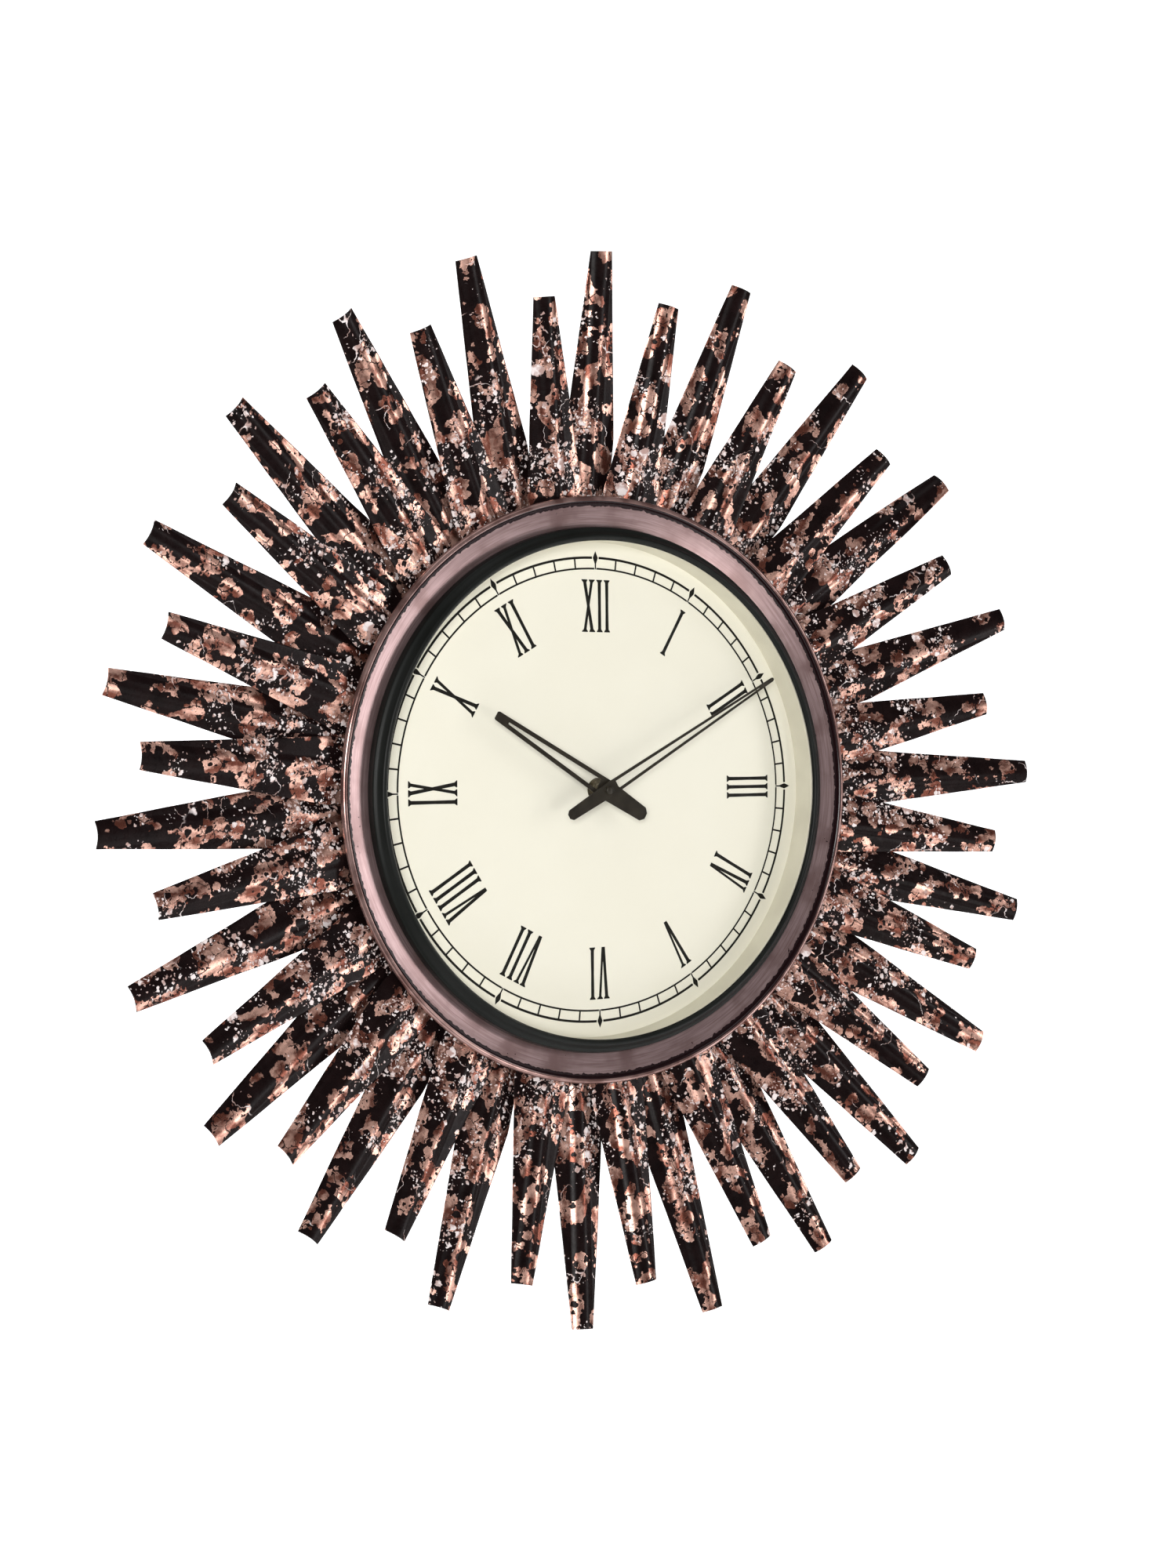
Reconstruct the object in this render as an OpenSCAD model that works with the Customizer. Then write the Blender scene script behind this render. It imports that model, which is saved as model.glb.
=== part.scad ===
// Sunburst wall clock: two layers of pressed steel rays round a dished bezel,
// with a glazed Roman dial and a two-hand quartz movement.
// The origin is on the clock's axis in the wall plane. The dial faces -Y and +Z is up.
// Inside the modules, X is right, Y is up and Z is the height above the wall.

/* [Rays] */
// Number of rays, long and short together
ray_count = 44; // [40:4:44]
// Radius of the long rays' tips
long_tip_r = 306; // [290:1:320]
// Radius of the short rays' tips
short_tip_r = 282; // [270:1:285]
// Width of a ray at its tip
tip_w = 13.5; // [13:0.5:15]
// Widest part of a long ray
long_max_w = 33; // [30:1:34]
// Widest part of a short ray
short_max_w = 36.5; // [33:0.5:37]
// Thickness of the ray sheet
sheet_t = 0.8; // [0.6:0.1:1]
// Forward lean of the rays, in degrees
ray_lean = 11.7; // [11:0.1:12]
// Share of the hand-set scatter in the rays' angles and lengths
ray_scatter = 1; // [0:0.1:1]

/* [Bezel] */
// Radius to the middle of the rolled rim
rim_r = 166.5; // [165:0.5:168]
// Height of the rolled rim's middle above the wall
rim_w = 48.5; // [48:0.1:50]
// Radius of the wire inside the rolled rim
rim_wire_r = 1.2; // [1:0.1:1.3]
// Radius of the black glass gasket's opening
gasket_in_r = 142.2; // [140:0.2:143]

/* [Dial] */
// Height of the dial's face above the wall
dial_w = 34; // [34:0.5:34]
// Height of the cream wall between dial and glass
rehaut_h = 15.5; // [15.5:0.1:16]
// Inner radius of the cream wall
rehaut_r = 143.8; // [143:0.1:144.5]
// Thickness of the glass
glass_t = 2.5; // [2:0.1:2.5]

/* [Case] */
// Outer radius of the case pan's front wall
pan_r = 150; // [150:1:150]
// Outer radius of the case pan's rear wall
pan_back_r = 140; // [138:1:140]
// Thickness of the case sheet
pan_t = 1; // [0.8:0.1:1]
// Radius of the movement window in the case pan's back
window_r = 48; // [46:1:55]

/* [Hands] */
// Direction of the minute hand, in degrees clockwise from twelve
minute_deg = 61; // [0:1:359]
// Direction of the hour hand, in degrees clockwise from twelve
hour_deg = 301; // [0:1:359]
// Length of the minute hand from its hub
minute_len = 135; // [110:1:138]
// Length of the hour hand from its hub
hour_len = 84; // [60:1:100]
// Length of both hands' tails
tail_len = 30.5; // [20:0.5:34]
// Thickness of the hands
hand_t = 0.7; // [0.5:0.1:0.8]

/* [Movement] */
// Side of the square movement housing
move_side = 56; // [56:1:58]
// Teeth of the cannon pinion and the setting pinion
cannon_teeth = 12; // [12:1:12]
// Teeth of the minute wheel
minute_teeth = 36; // [36:1:36]
// Teeth of the minute wheel's pinion
motion_teeth = 10; // [10:1:10]
// Teeth of the hour wheel
hour_teeth = 40; // [40:1:40]
// Teeth of the centre wheel
centre_teeth = 80; // [80:1:80]
// Teeth of the intermediate wheel
inter_teeth = 72; // [72:1:72]
// Teeth of the intermediate and rotor pinions
pinion_teeth = 8; // [8:1:8]

/* [Hidden] */
$fn = 96;
cut = 0.5;
run_gap = 0.05;

// Rays
rays_per_node = 4;
root_s = 157.5;
fix_s = 163.5;
rib_half_w = 6.25;
rib_h = 2.6;
flank_h = 1.6;
flank_half_w = 19;
rib_r = (rib_half_w * rib_half_w + rib_h * rib_h) / (2 * rib_h);
crown_h = flank_h + sheet_t + rib_h;
layer_gap = 6;
long_root_w = 27;
short_root_w = 32;
long_wide_s = 206;
short_wide_s = 178;

// Ray hoop and fasteners
hoop_drop = 0.3;
hoop_t = 2;
hoop_out_r = 178;
hoop_bend_r = 152;
hoop_seat_w = dial_w - 5;
sleeve_low_w = 17;
rivet_r = 1.5;
rivet_head_r = 2.6;
rivet_head_h = 0.7;
sleeve_r = 2.6;
hoop_sleeve_t = 1.5;
hoop_screw_count = 8;
hoop_screw_deg = 22.5;
hoop_screw_w = 22;
hoop_screw_r = 2;
hoop_hole_r = 2.1;
bezel_screw_count = 6;
bezel_screw_deg = 30;
bezel_screw_w = 38;
screw_r = 1.5;
screw_hole_r = 1.6;

// Bezel and glass
curl_r = rim_wire_r + 0.9;
skirt_in_r = pan_r + 0.1;
skirt_out_r = skirt_in_r + 1;
skirt_low_w = 31;
bezel_in_w = 44.5;
glass_r = 147;
glass_w = dial_w + rehaut_h;
pan_in_r = pan_r - pan_t;
fill_r = pan_in_r - 0.4;

// Case
pan_back_w = 4;
seat_w = dial_w - 4;
bumper_r = 115;
hanger_v = 105;
keyhole_v = 98;
keyhole_r = 4.5;
key_slot_r = 2.5;
key_slot_v = 112;
hanger_t = 1.6;
hanger_rivet_x = 11;
hanger_rivet_y = 21;
bumper_stem_r = 2;

// Movement, heights above the wall
tub_w = 13;
cover_w = 27.4;
cover_front_w = dial_w - 5;
plate_t = 1.4;
move_wall = 1.2;
pivot_r = 0.6;
pivot_low_w = 13.7;
pivot_high_w = 28.1;
battery_r = 7.1;
battery_v = -19.6;
battery_w = 20;
bay_top_v = -12.4;
coil_v = 23.2;
stator_w = 19.9;
gear_floor_v = -11;
fast_m = 0.25;
motion_m = 0.5;
hour_m = 0.48;
knob_m = 0.5;
knob_teeth = 24;
setting_r = 1.2;
bush_r = 4;
washer_t = 0.6;
nut_h = 2.4;
bush_top_w = dial_w + 4.2;
pipe_in_r = 1.55;
pipe_r = 2.5;
arbor_r = 1.5;
hour_hand_w = dial_w + 10.2;
minute_hand_w = dial_w + 12.2;

// Directions from one arbor to the next, counter-clockwise from +X
inter_dir = 55;
rotor_dir = 140;
minute_dir = 180;
setting_dir = 110;
inter_at = step_from([0, 0], inter_dir, fast_m * (centre_teeth + pinion_teeth) / 2);
rotor_at = step_from(inter_at, rotor_dir, fast_m * (inter_teeth + pinion_teeth) / 2);
minute_at = step_from([0, 0], minute_dir, motion_m * (cannon_teeth + minute_teeth) / 2);
setting_at = step_from(minute_at, setting_dir, motion_m * (cannon_teeth + minute_teeth) / 2);

// Tooth phases that put each pair in mesh
inter_phase = mesh_phase(0, centre_teeth, pinion_teeth, inter_dir);
rotor_phase = mesh_phase(0, inter_teeth, pinion_teeth, rotor_dir);
minute_phase = mesh_phase(0, cannon_teeth, minute_teeth, minute_dir);
hour_phase = mesh_phase(0, motion_teeth, hour_teeth, minute_dir + 180);
setting_phase = mesh_phase(minute_phase, minute_teeth, cannon_teeth, setting_dir);

function step_from(p, dir, dist) = [p.x + dist * cos(dir), p.y + dist * sin(dir)];
function mesh_phase(phase_a, teeth_a, teeth_b, dir) =
    dir + 180 + (dir - phase_a) * teeth_a / teeth_b + 180 / teeth_b;

// Clockwise direction of ray i from twelve: even spacing, plus the slow drift and small
// scatter of rays that were set by hand
function ray_even(i) = i * 360 / ray_count;
function ray_drift(a) = 3.9 - 4.4 * cos(a) + 1.3 * sin(a) - 1.6 * cos(2 * a) + 0.9 * sin(2 * a);
function angle_scatter(a) = 0.34 * sin(3 * a + 156) + 0.31 * sin(4 * a - 5)
    + 0.42 * sin(6 * a - 55) + 0.3 * sin(8 * a + 160) + 0.2 * sin(14 * a - 118);
function length_scatter(a) = 1.3 * sin(a - 76) + 3 * sin(2 * a - 162) + 1.8 * sin(3 * a + 23)
    + 1.1 * sin(14 * a - 52) + 1.3 * sin(21 * a + 158);
function ray_deg(i) = ray_even(i) + ray_drift(ray_even(i)) + ray_scatter * angle_scatter(ray_even(i));
function is_short(i) = i % 2 == 1;
function tip_s(i) = (is_short(i) ? short_tip_r : long_tip_r) / cos(ray_lean)
    + ray_scatter * length_scatter(ray_even(i));

// ---------- helpers ----------

// Turns a module's own frame to the row's frame, with the dial facing -Y
module facing() { rotate([90, 0, 0]) children(); }

// A tube along the clock's axis between two heights
module tube(r_in, r_out, low, high) {
    translate([0, 0, low]) difference() {
        cylinder(r = r_out, h = high - low);
        translate([0, 0, -cut]) cylinder(r = r_in, h = high - low + 2 * cut);
    }
}

// A rod along the clock's axis between two heights
module rod(r, low, high) { translate([0, 0, low]) cylinder(r = r, h = high - low); }

// Children at a clockwise direction and a radius
module at_clock(deg, r) { rotate([0, 0, -deg]) translate([0, r, 0]) children(); }

// Children along +Y laid out from the axis, at a clockwise direction and a height
module radial(deg, w) { rotate([0, 0, -deg]) translate([0, 0, w]) rotate([-90, 0, 0]) children(); }

module at_hoop_screws() {
    for (k = [0 : hoop_screw_count - 1])
        radial(hoop_screw_deg + k * 360 / hoop_screw_count, hoop_screw_w) children();
}

module at_bezel_screws() {
    for (k = [0 : bezel_screw_count - 1])
        radial(bezel_screw_deg + k * 360 / bezel_screw_count, bezel_screw_w) children();
}

// Children in the frame of ray i: Y along the ray, Z out of its rear base plane
module on_ray(i) { rotate([0, 0, -ray_deg(i)]) rotate([ray_lean, 0, 0]) children(); }

// Outline of a gear with straight-flanked teeth, one tooth centred on +X
module gear_outline(m, teeth) {
    pitch_r = m * teeth / 2;
    rise = [-1.3 * m, 0, 0.9 * m, 0.9 * m, 0, -1.3 * m];
    half = [-0.8 * m, -0.6 * m, -0.33 * m, 0.33 * m, 0.6 * m, 0.8 * m];
    polygon([
        for (i = [0 : teeth - 1], k = [0 : 5])
            let (r = pitch_r + rise[k], a = i * 360 / teeth + half[k] / r * 180 / PI)
            [r * cos(a), r * sin(a)]
    ]);
}

module gear(m, teeth, low, high, phase = 0) {
    translate([0, 0, low]) rotate([0, 0, phase]) linear_extrude(high - low) gear_outline(m, teeth);
}

module rounded_plate(w, h, r) {
    union() {
        square([w - 2 * r, h], center = true);
        square([w, h - 2 * r], center = true);
        for (x = [-1, 1], y = [-1, 1]) translate([x * (w / 2 - r), y * (h / 2 - r)]) circle(r);
    }
}

// ---------- rays ----------

// Cross-section of a ray: rounded centre rib with sloping flanks
module ray_section() {
    difference() {
        translate([0, crown_h - rib_r]) circle(rib_r);
        translate([0, crown_h - rib_r]) circle(rib_r - sheet_t);
        translate([-rib_r - 1, flank_h - 2 * rib_r - 1]) square([2 * rib_r + 2, 2 * rib_r + 1]);
    }
    for (side = [-1, 1]) polygon([
        [side * (rib_half_w - 0.2), flank_h], [side * flank_half_w, 0],
        [side * flank_half_w, sheet_t], [side * (rib_half_w - 0.2), flank_h + sheet_t]
    ]);
}

// Flat outline of a ray, widest at wide_s and tapering to its tip
module ray_outline(root_w, max_w, wide_s, end_s) {
    half = [root_w, max_w, tip_w] / 2;
    polygon([
        [-half[0], root_s], [-half[1], wide_s], [-half[2], end_s],
        [half[2], end_s], [half[1], wide_s], [half[0], root_s]
    ]);
}

module ray(i) {
    end_s = tip_s(i);
    on_ray(i) translate([0, 0, is_short(i) ? layer_gap : 0]) difference() {
        intersection() {
            translate([0, end_s, 0]) rotate([90, 0, 0]) linear_extrude(end_s - root_s) ray_section();
            translate([0, 0, -1]) linear_extrude(crown_h + 2)
                if (is_short(i)) ray_outline(short_root_w, short_max_w, short_wide_s, end_s);
                else ray_outline(long_root_w, long_max_w, long_wide_s, end_s);
        }
        translate([0, fix_s, 0]) cylinder(r = screw_hole_r, h = crown_h + 1);
    }
}

module ray_group(g) {
    color("#4a2f2a") facing()
        for (i = [(g - 1) * rays_per_node : g * rays_per_node - 1]) ray(i);
}

module rays_01() { ray_group(1); }
module rays_02() { ray_group(2); }
module rays_03() { ray_group(3); }
module rays_04() { ray_group(4); }
module rays_05() { ray_group(5); }
module rays_06() { ray_group(6); }
module rays_07() { ray_group(7); }
module rays_08() { ray_group(8); }
module rays_09() { ray_group(9); }
module rays_10() { ray_group(10); }
module rays_11() { ray_group(11); }

// Rivets of one layer: shank through hoop, sleeve and ray, with a head on the rib
module ray_rivets(first, lift) {
    low = -hoop_drop - hoop_t - 0.05;
    color("#55504c") facing() for (i = [first : 2 : ray_count - 1]) on_ray(i) translate([0, fix_s, 0]) {
        translate([0, 0, low]) cylinder(r = rivet_r, h = lift + crown_h - low + 0.1);
        translate([0, 0, lift + crown_h]) cylinder(r = rivet_head_r, h = rivet_head_h);
        translate([0, 0, low - rivet_head_h]) cylinder(r = rivet_head_r, h = rivet_head_h);
    }
}

// Distance sleeves of one layer, from the hoop to the inside of the rib
module ray_sleeves(first, lift) {
    inside_h = crown_h - sheet_t - 0.5;
    color("silver") facing() for (i = [first : 2 : ray_count - 1]) on_ray(i)
        translate([0, fix_s, -hoop_drop + 0.05]) difference() {
            cylinder(r = sleeve_r, h = lift + inside_h + hoop_drop);
            translate([0, 0, -cut]) cylinder(r = screw_hole_r, h = lift + inside_h + hoop_drop + 2 * cut);
        }
}

module long_ray_rivets() { ray_rivets(0, 0); }
module short_ray_rivets() { ray_rivets(1, layer_gap); }
module long_ray_sleeves() { ray_sleeves(0, 0); }
module short_ray_sleeves() { ray_sleeves(1, layer_gap); }

// Pressed ring that carries the rays: sleeve on the pan, flat seat and conical band
module ray_hoop() {
    rise = tan(ray_lean);
    thick = hoop_t / cos(ray_lean);
    sleeve_in_r = pan_back_r + run_gap;
    sleeve_out_r = sleeve_in_r + hoop_sleeve_t;
    color("#3c3836") facing() difference() {
        rotate_extrude() polygon([
            [sleeve_in_r, sleeve_low_w], [sleeve_out_r, sleeve_low_w],
            [sleeve_out_r, hoop_seat_w - 1.5], [hoop_bend_r, hoop_seat_w - 1.5],
            [hoop_bend_r + 1, (hoop_bend_r + 1) * rise - hoop_drop - thick],
            [hoop_out_r, hoop_out_r * rise - hoop_drop - thick],
            [hoop_out_r, hoop_out_r * rise - hoop_drop],
            [hoop_bend_r, hoop_bend_r * rise - hoop_drop],
            [hoop_bend_r - 1, hoop_seat_w], [sleeve_in_r, hoop_seat_w]
        ]);
        for (i = [0 : ray_count - 1]) on_ray(i)
            translate([0, fix_s, -hoop_t - 4]) cylinder(r = screw_hole_r, h = hoop_t + 5);
        at_hoop_screws() rod(hoop_hole_r, pan_back_r - 1, pan_back_r + 3);
    }
}

module hoop_screws() {
    head_low = pan_back_r + run_gap + hoop_sleeve_t;
    color("silver") facing() at_hoop_screws() {
        rod(hoop_screw_r, pan_back_r - 6, head_low + 0.1);
        rod(3.6, head_low, head_low + 2.2);
    }
}

module hoop_nuts() {
    color("silver") facing() at_hoop_screws() translate([0, 0, pan_back_r - pan_t - 3.2]) difference() {
        cylinder(r = 4, h = 3, $fn = 6);
        translate([0, 0, -cut]) cylinder(r = hoop_screw_r + run_gap, h = 3 + 2 * cut);
    }
}

// ---------- bezel and glass ----------

// Spun ring: skirt over the pan, dished face and an edge curled round the rim wire
module bezel_ring() {
    color("#7d5c5c") facing() difference() {
        rotate_extrude() union() {
            polygon([
                [skirt_in_r, skirt_low_w], [skirt_out_r, skirt_low_w], [skirt_out_r, bezel_in_w - 1],
                [rim_r - curl_r, rim_w - 1.6], [rim_r - curl_r + 0.5, rim_w - 0.2],
                [skirt_out_r, bezel_in_w], [skirt_in_r, bezel_in_w]
            ]);
            translate([rim_r, rim_w]) difference() {
                circle(curl_r);
                circle(rim_wire_r + 0.02);
                rotate(-150) translate([0, -0.4]) square([3, 0.8]);
            }
        }
        at_bezel_screws() rod(screw_hole_r, pan_r - 2, pan_r + 3);
    }
}

module rim_wire() {
    color("#8f6a58") facing() rotate_extrude() translate([rim_r, rim_w]) circle(rim_wire_r);
}

module bezel_screws() {
    color("silver") facing() at_bezel_screws() {
        rod(screw_r, fill_r + 0.1, skirt_out_r + 0.1);
        rod(2.7, skirt_out_r + 0.01, skirt_out_r + 1.3);
    }
}

// Black ring: foot on pan and bezel, channel for the glass edge, rounded front
module glass_gasket() {
    crest_r = 145;
    crest_w = 52.2;
    bead = 2;
    foot_w = bezel_in_w + 0.01;
    groove_r = glass_r + 0.01;
    front_w = glass_w + glass_t;
    color("#232323") facing() rotate_extrude() polygon(concat(
        [[gasket_in_r, front_w], [gasket_in_r, front_w + 0.8]],
        [for (a = [130 : -20 : 10]) [crest_r + bead * cos(a), crest_w + bead * sin(a)]],
        [[skirt_out_r + 0.3, bezel_in_w + 1.4], [skirt_out_r - 0.1, foot_w], [fill_r + 0.01, foot_w],
         [fill_r + 0.01, glass_w], [groove_r, glass_w], [groove_r, front_w]]
    ));
}

module glass_lens() { color("#cfe0e066") facing() rod(glass_r, glass_w, glass_w + glass_t); }

module rehaut_ring() { color("#e6dfc8") facing() tube(rehaut_r, fill_r, dial_w, glass_w); }

// ---------- dial and case ----------

module dial_plate() { color("#f2eedc") facing() tube(bush_r + 0.2, fill_r, dial_w - 1, dial_w); }

module dial_backing() { color("#8a6a48") facing() tube(bush_r + 0.2, fill_r, seat_w, dial_w - 1); }

// Deep-drawn pan: narrow rear part, step that the dial rests on, wide front wall
module case_pan() {
    color("#2f2b2a") facing() difference() {
        rotate_extrude() polygon([
            [window_r, pan_back_w], [pan_back_r, pan_back_w], [pan_back_r, seat_w - pan_t],
            [pan_r, seat_w - pan_t], [pan_r, bezel_in_w], [pan_in_r, bezel_in_w], [pan_in_r, seat_w],
            [pan_back_r - pan_t, seat_w], [pan_back_r - pan_t, pan_back_w + pan_t],
            [window_r, pan_back_w + pan_t]
        ]);
        at_hoop_screws() rod(hoop_hole_r, pan_back_r - 3, pan_back_r + 1);
        at_bezel_screws() rod(screw_hole_r, pan_r - 3, pan_r + 1);
        translate([0, hanger_v, pan_back_w - cut]) linear_extrude(pan_t + 2 * cut) rounded_plate(18, 30, 4);
        hanger_holes(pan_back_w - cut, pan_back_w + pan_t + cut);
        for (a = [45 : 90 : 315]) at_clock(a, bumper_r)
            rod(bumper_stem_r + 0.1, pan_back_w - cut, pan_back_w + pan_t + cut);
    }
}

module at_hanger_rivets() {
    for (x = [-1, 1], y = [-1, 1])
        translate([x * hanger_rivet_x, hanger_v + y * hanger_rivet_y, 0]) children();
}

module hanger_holes(low, high) { at_hanger_rivets() rod(screw_hole_r, low, high); }

// Plate with a keyhole: the screw head goes in at the bottom and slides to the top
module hanger_plate() {
    color("silver") facing() difference() {
        translate([0, hanger_v, pan_back_w - hanger_t]) linear_extrude(hanger_t) rounded_plate(34, 54, 5);
        hanger_holes(pan_back_w - hanger_t - cut, pan_back_w + cut);
        translate([0, keyhole_v, 0]) rod(keyhole_r, pan_back_w - hanger_t - cut, pan_back_w + cut);
        translate([0, key_slot_v, 0]) rod(key_slot_r, pan_back_w - hanger_t - cut, pan_back_w + cut);
        translate([-key_slot_r, keyhole_v, pan_back_w - hanger_t - cut])
            cube([2 * key_slot_r, key_slot_v - keyhole_v, hanger_t + 2 * cut]);
    }
}

module hanger_rivets() {
    color("#b9b4ac") facing() at_hanger_rivets() {
        rod(rivet_r, pan_back_w - hanger_t - 0.1, pan_back_w + pan_t + 0.1);
        rod(rivet_head_r, pan_back_w - hanger_t - rivet_head_h, pan_back_w - hanger_t);
        rod(rivet_head_r, pan_back_w + pan_t, pan_back_w + pan_t + rivet_head_h);
    }
}

// Rubber feet with a stem and a barb in the pan's back
module wall_bumpers() {
    inside_w = pan_back_w + pan_t;
    color("#1d1d1d") facing() for (a = [45 : 90 : 315]) at_clock(a, bumper_r) rotate_extrude() polygon([
        [0, 0], [7, 0], [8, 1], [8, pan_back_w], [bumper_stem_r, pan_back_w], [bumper_stem_r, inside_w],
        [3.2, inside_w], [1.4, inside_w + 3], [0, inside_w + 3]
    ]);
}

// ---------- movement, fixed pieces ----------

module tub_post(p, high) { translate([p.x, p.y, 0]) rod(1.6, tub_w + 0.1, high); }

module housing_block(low, high) {
    translate([0, 0, low]) linear_extrude(high - low) rounded_plate(move_side, move_side, 3);
}

module movement_tub() {
    inner = move_side - 2 * move_wall;
    half = inner / 2;
    color("#26282b") facing() difference() {
        union() {
            difference() {
                housing_block(tub_w, cover_w);
                translate([-half, gear_floor_v, tub_w + plate_t])
                    cube([inner, half - gear_floor_v, cover_w]);
                translate([-half, -half, tub_w - cut]) cube([inner, bay_top_v + half, cover_w]);
            }
            tub_post([-24, 24.5], 17);
            tub_post([-11, 17.5], 17);
            tub_post([18.5, coil_v], stator_w);
            tub_post([-6.5, coil_v], stator_w);
        }
        for (p = [[0, 0], inter_at, rotor_at, minute_at])
            translate([p.x, p.y, 0]) rod(pivot_r + run_gap, pivot_low_w - 0.1, tub_w + plate_t + cut);
        translate([setting_at.x, setting_at.y, 0])
            rod(setting_r + run_gap, tub_w - cut, tub_w + plate_t + cut);
    }
}

module movement_cover() {
    color("#303338") facing() difference() {
        housing_block(cover_w, cover_front_w);
        rod(bush_r, cover_w - cut, cover_front_w + cut);
        for (p = [inter_at, rotor_at, minute_at, setting_at])
            translate([p.x, p.y, 0]) rod(pivot_r + run_gap, cover_w - cut, pivot_high_w + 0.1);
    }
}

module mounting_gasket() { color("#191919") facing() tube(bush_r + 0.1, 14, cover_front_w, seat_w); }

module threaded_bush() {
    color("#b08d3c") facing() difference() {
        union() {
            rod(bush_r, cover_w, bush_top_w);
            rod(5.5, cover_w - 0.8, cover_w);
        }
        rod(pipe_r + run_gap, cover_w - 1, bush_top_w + cut);
    }
}

module dial_washer() { color("#c0a050") facing() tube(bush_r + run_gap, 7, dial_w, dial_w + washer_t); }

module hex_nut() {
    color("#a8893f") facing() translate([0, 0, dial_w + washer_t]) difference() {
        cylinder(r = 5.8, h = nut_h, $fn = 6);
        translate([0, 0, -cut]) cylinder(r = bush_r, h = nut_h + 2 * cut, $fn = 48);
    }
}

module circuit_board() {
    color("#1f6b3a") facing() translate([-26, 15.2, 17]) cube([17, 11, 1.2]);
}

module quartz_crystal() {
    color("silver") facing() translate([-22, 22, 18.2]) {
        translate([0, 0, 1]) rotate([0, 90, 0]) cylinder(r = 1, h = 6);
        for (y = [-0.4, 0.4]) translate([6, y, 1]) rotate([0, 90, 0]) cylinder(r = 0.15, h = 2, $fn = 16);
    }
}

// Bobbin flanges and winding on the stator's core
module drive_coil() {
    color("#b5602c") facing() translate([-4, coil_v, stator_w + 0.6]) rotate([0, 90, 0]) difference() {
        union() {
            cylinder(r = 2.9, h = 20);
            for (x = [0, 19]) translate([0, 0, x]) cylinder(r = 3.5, h = 1);
        }
        translate([-0.62, -1.52, -cut]) cube([1.24, 3.04, 20 + 2 * cut]);
    }
}

// Flat iron core: a bar through the coil and two legs to the rotor
module stator_plate() {
    high = coil_v + 1.5;
    low = rotor_at.y + 3.3;
    color("#8d9095") facing() translate([0, 0, stator_w]) linear_extrude(1.2) difference() {
        union() {
            translate([-8, high - 3]) square([28, 3]);
            polygon([[-8, high], [-8, low], rotor_at + [-4, -1], rotor_at + [0, 3.3], [-5, low], [-5, high]]);
            polygon([[20, high], [20, low], rotor_at + [4, -1], rotor_at + [0, 3.3], [17, low], [17, high]]);
            translate(rotor_at) circle(4.2);
        }
        translate(rotor_at) circle(3.5);
    }
}

module contact_plate(x) { translate([x, battery_v - 5, 14.5]) cube([0.3, 10, 11]); }

module positive_contact() { color("silver") facing() contact_plate(26.3); }

module negative_contact() {
    color("silver") facing() union() {
        contact_plate(-26.6);
        translate([0, battery_v + 2, 0]) rotate([90, 0, 0]) linear_extrude(4) polygon([
            [-26.4, 15], [-24.5, 19], [-24.5, 21], [-26.4, 25], [-26.4, 24.4], [-24.8, 20.8],
            [-24.8, 19.2], [-26.4, 15.6]
        ]);
    }
}

// ---------- movement, moving pieces ----------

module battery() {
    color("#3b6ea5") facing() translate([-24.4, battery_v, battery_w]) rotate([0, 90, 0]) {
        cylinder(r = battery_r, h = 49.4);
        cylinder(r = 2.7, h = 50.5);
    }
}

module rotor_magnet() {
    color("#55565a") facing() translate([rotor_at.x, rotor_at.y, 0]) tube(pivot_r, 3, 19.2, 22);
}

module rotor_pinion() {
    color("#d8d4c4") facing() translate([rotor_at.x, rotor_at.y, 0]) {
        rod(pivot_r, pivot_low_w, pivot_high_w);
        gear(fast_m, pinion_teeth, 17.2, 18.8, rotor_phase);
    }
}

module intermediate_wheel() {
    color("#e8e4d4") facing() translate([inter_at.x, inter_at.y, 0]) {
        rod(pivot_r, pivot_low_w, pivot_high_w);
        gear(fast_m, pinion_teeth, 15.2, 17.7, inter_phase);
        gear(fast_m, inter_teeth, 17.6, 18.4);
    }
}

module centre_wheel() {
    color("#c9a227") facing() difference() {
        union() {
            gear(fast_m, centre_teeth, 15.6, 16.4);
            rod(3, 15.2, 16.8);
        }
        rod(arbor_r, 15, 17);
    }
}

// Steel arbor that carries the centre wheel, the cannon pinion and the minute hand
module minute_arbor() {
    color("#9a9da1") facing() union() {
        rod(pivot_r, pivot_low_w, 15);
        rod(arbor_r, 14.8, minute_hand_w + hand_t + 1);
    }
}

module cannon_pinion() {
    color("#c9a227") facing() difference() {
        gear(motion_m, cannon_teeth, 23.2, 24.8);
        rod(arbor_r, 23, 25);
    }
}

module minute_wheel() {
    color("#e8e4d4") facing() translate([minute_at.x, minute_at.y, 0]) {
        rod(pivot_r, pivot_low_w, pivot_high_w);
        gear(motion_m, minute_teeth, 23.4, 24.6, minute_phase);
        gear(hour_m, motion_teeth, 24.5, 26.3);
    }
}

module hour_wheel() {
    color("#e8e4d4") facing() difference() {
        union() {
            gear(hour_m, hour_teeth, 25, 26.2, hour_phase);
            rod(pipe_r, 25, hour_hand_w + hand_t + 0.1);
        }
        rod(pipe_in_r, 24, hour_hand_w + 2);
    }
}

module setting_shaft() {
    color("#e8e4d4") facing() translate([setting_at.x, setting_at.y, 0]) {
        rod(setting_r, 9.6, 23.3);
        rod(pivot_r, 23, pivot_high_w);
        gear(motion_m, cannon_teeth, 23.2, 24.8, setting_phase);
    }
}

// Thumb wheel with a coarse knurl
module setting_knob() {
    color("#26282b") facing() translate([setting_at.x, setting_at.y, 0]) difference() {
        gear(knob_m, knob_teeth, 9.4, 12.5);
        rod(setting_r, 9.6, 13);
    }
}

// ---------- hands ----------

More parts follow.
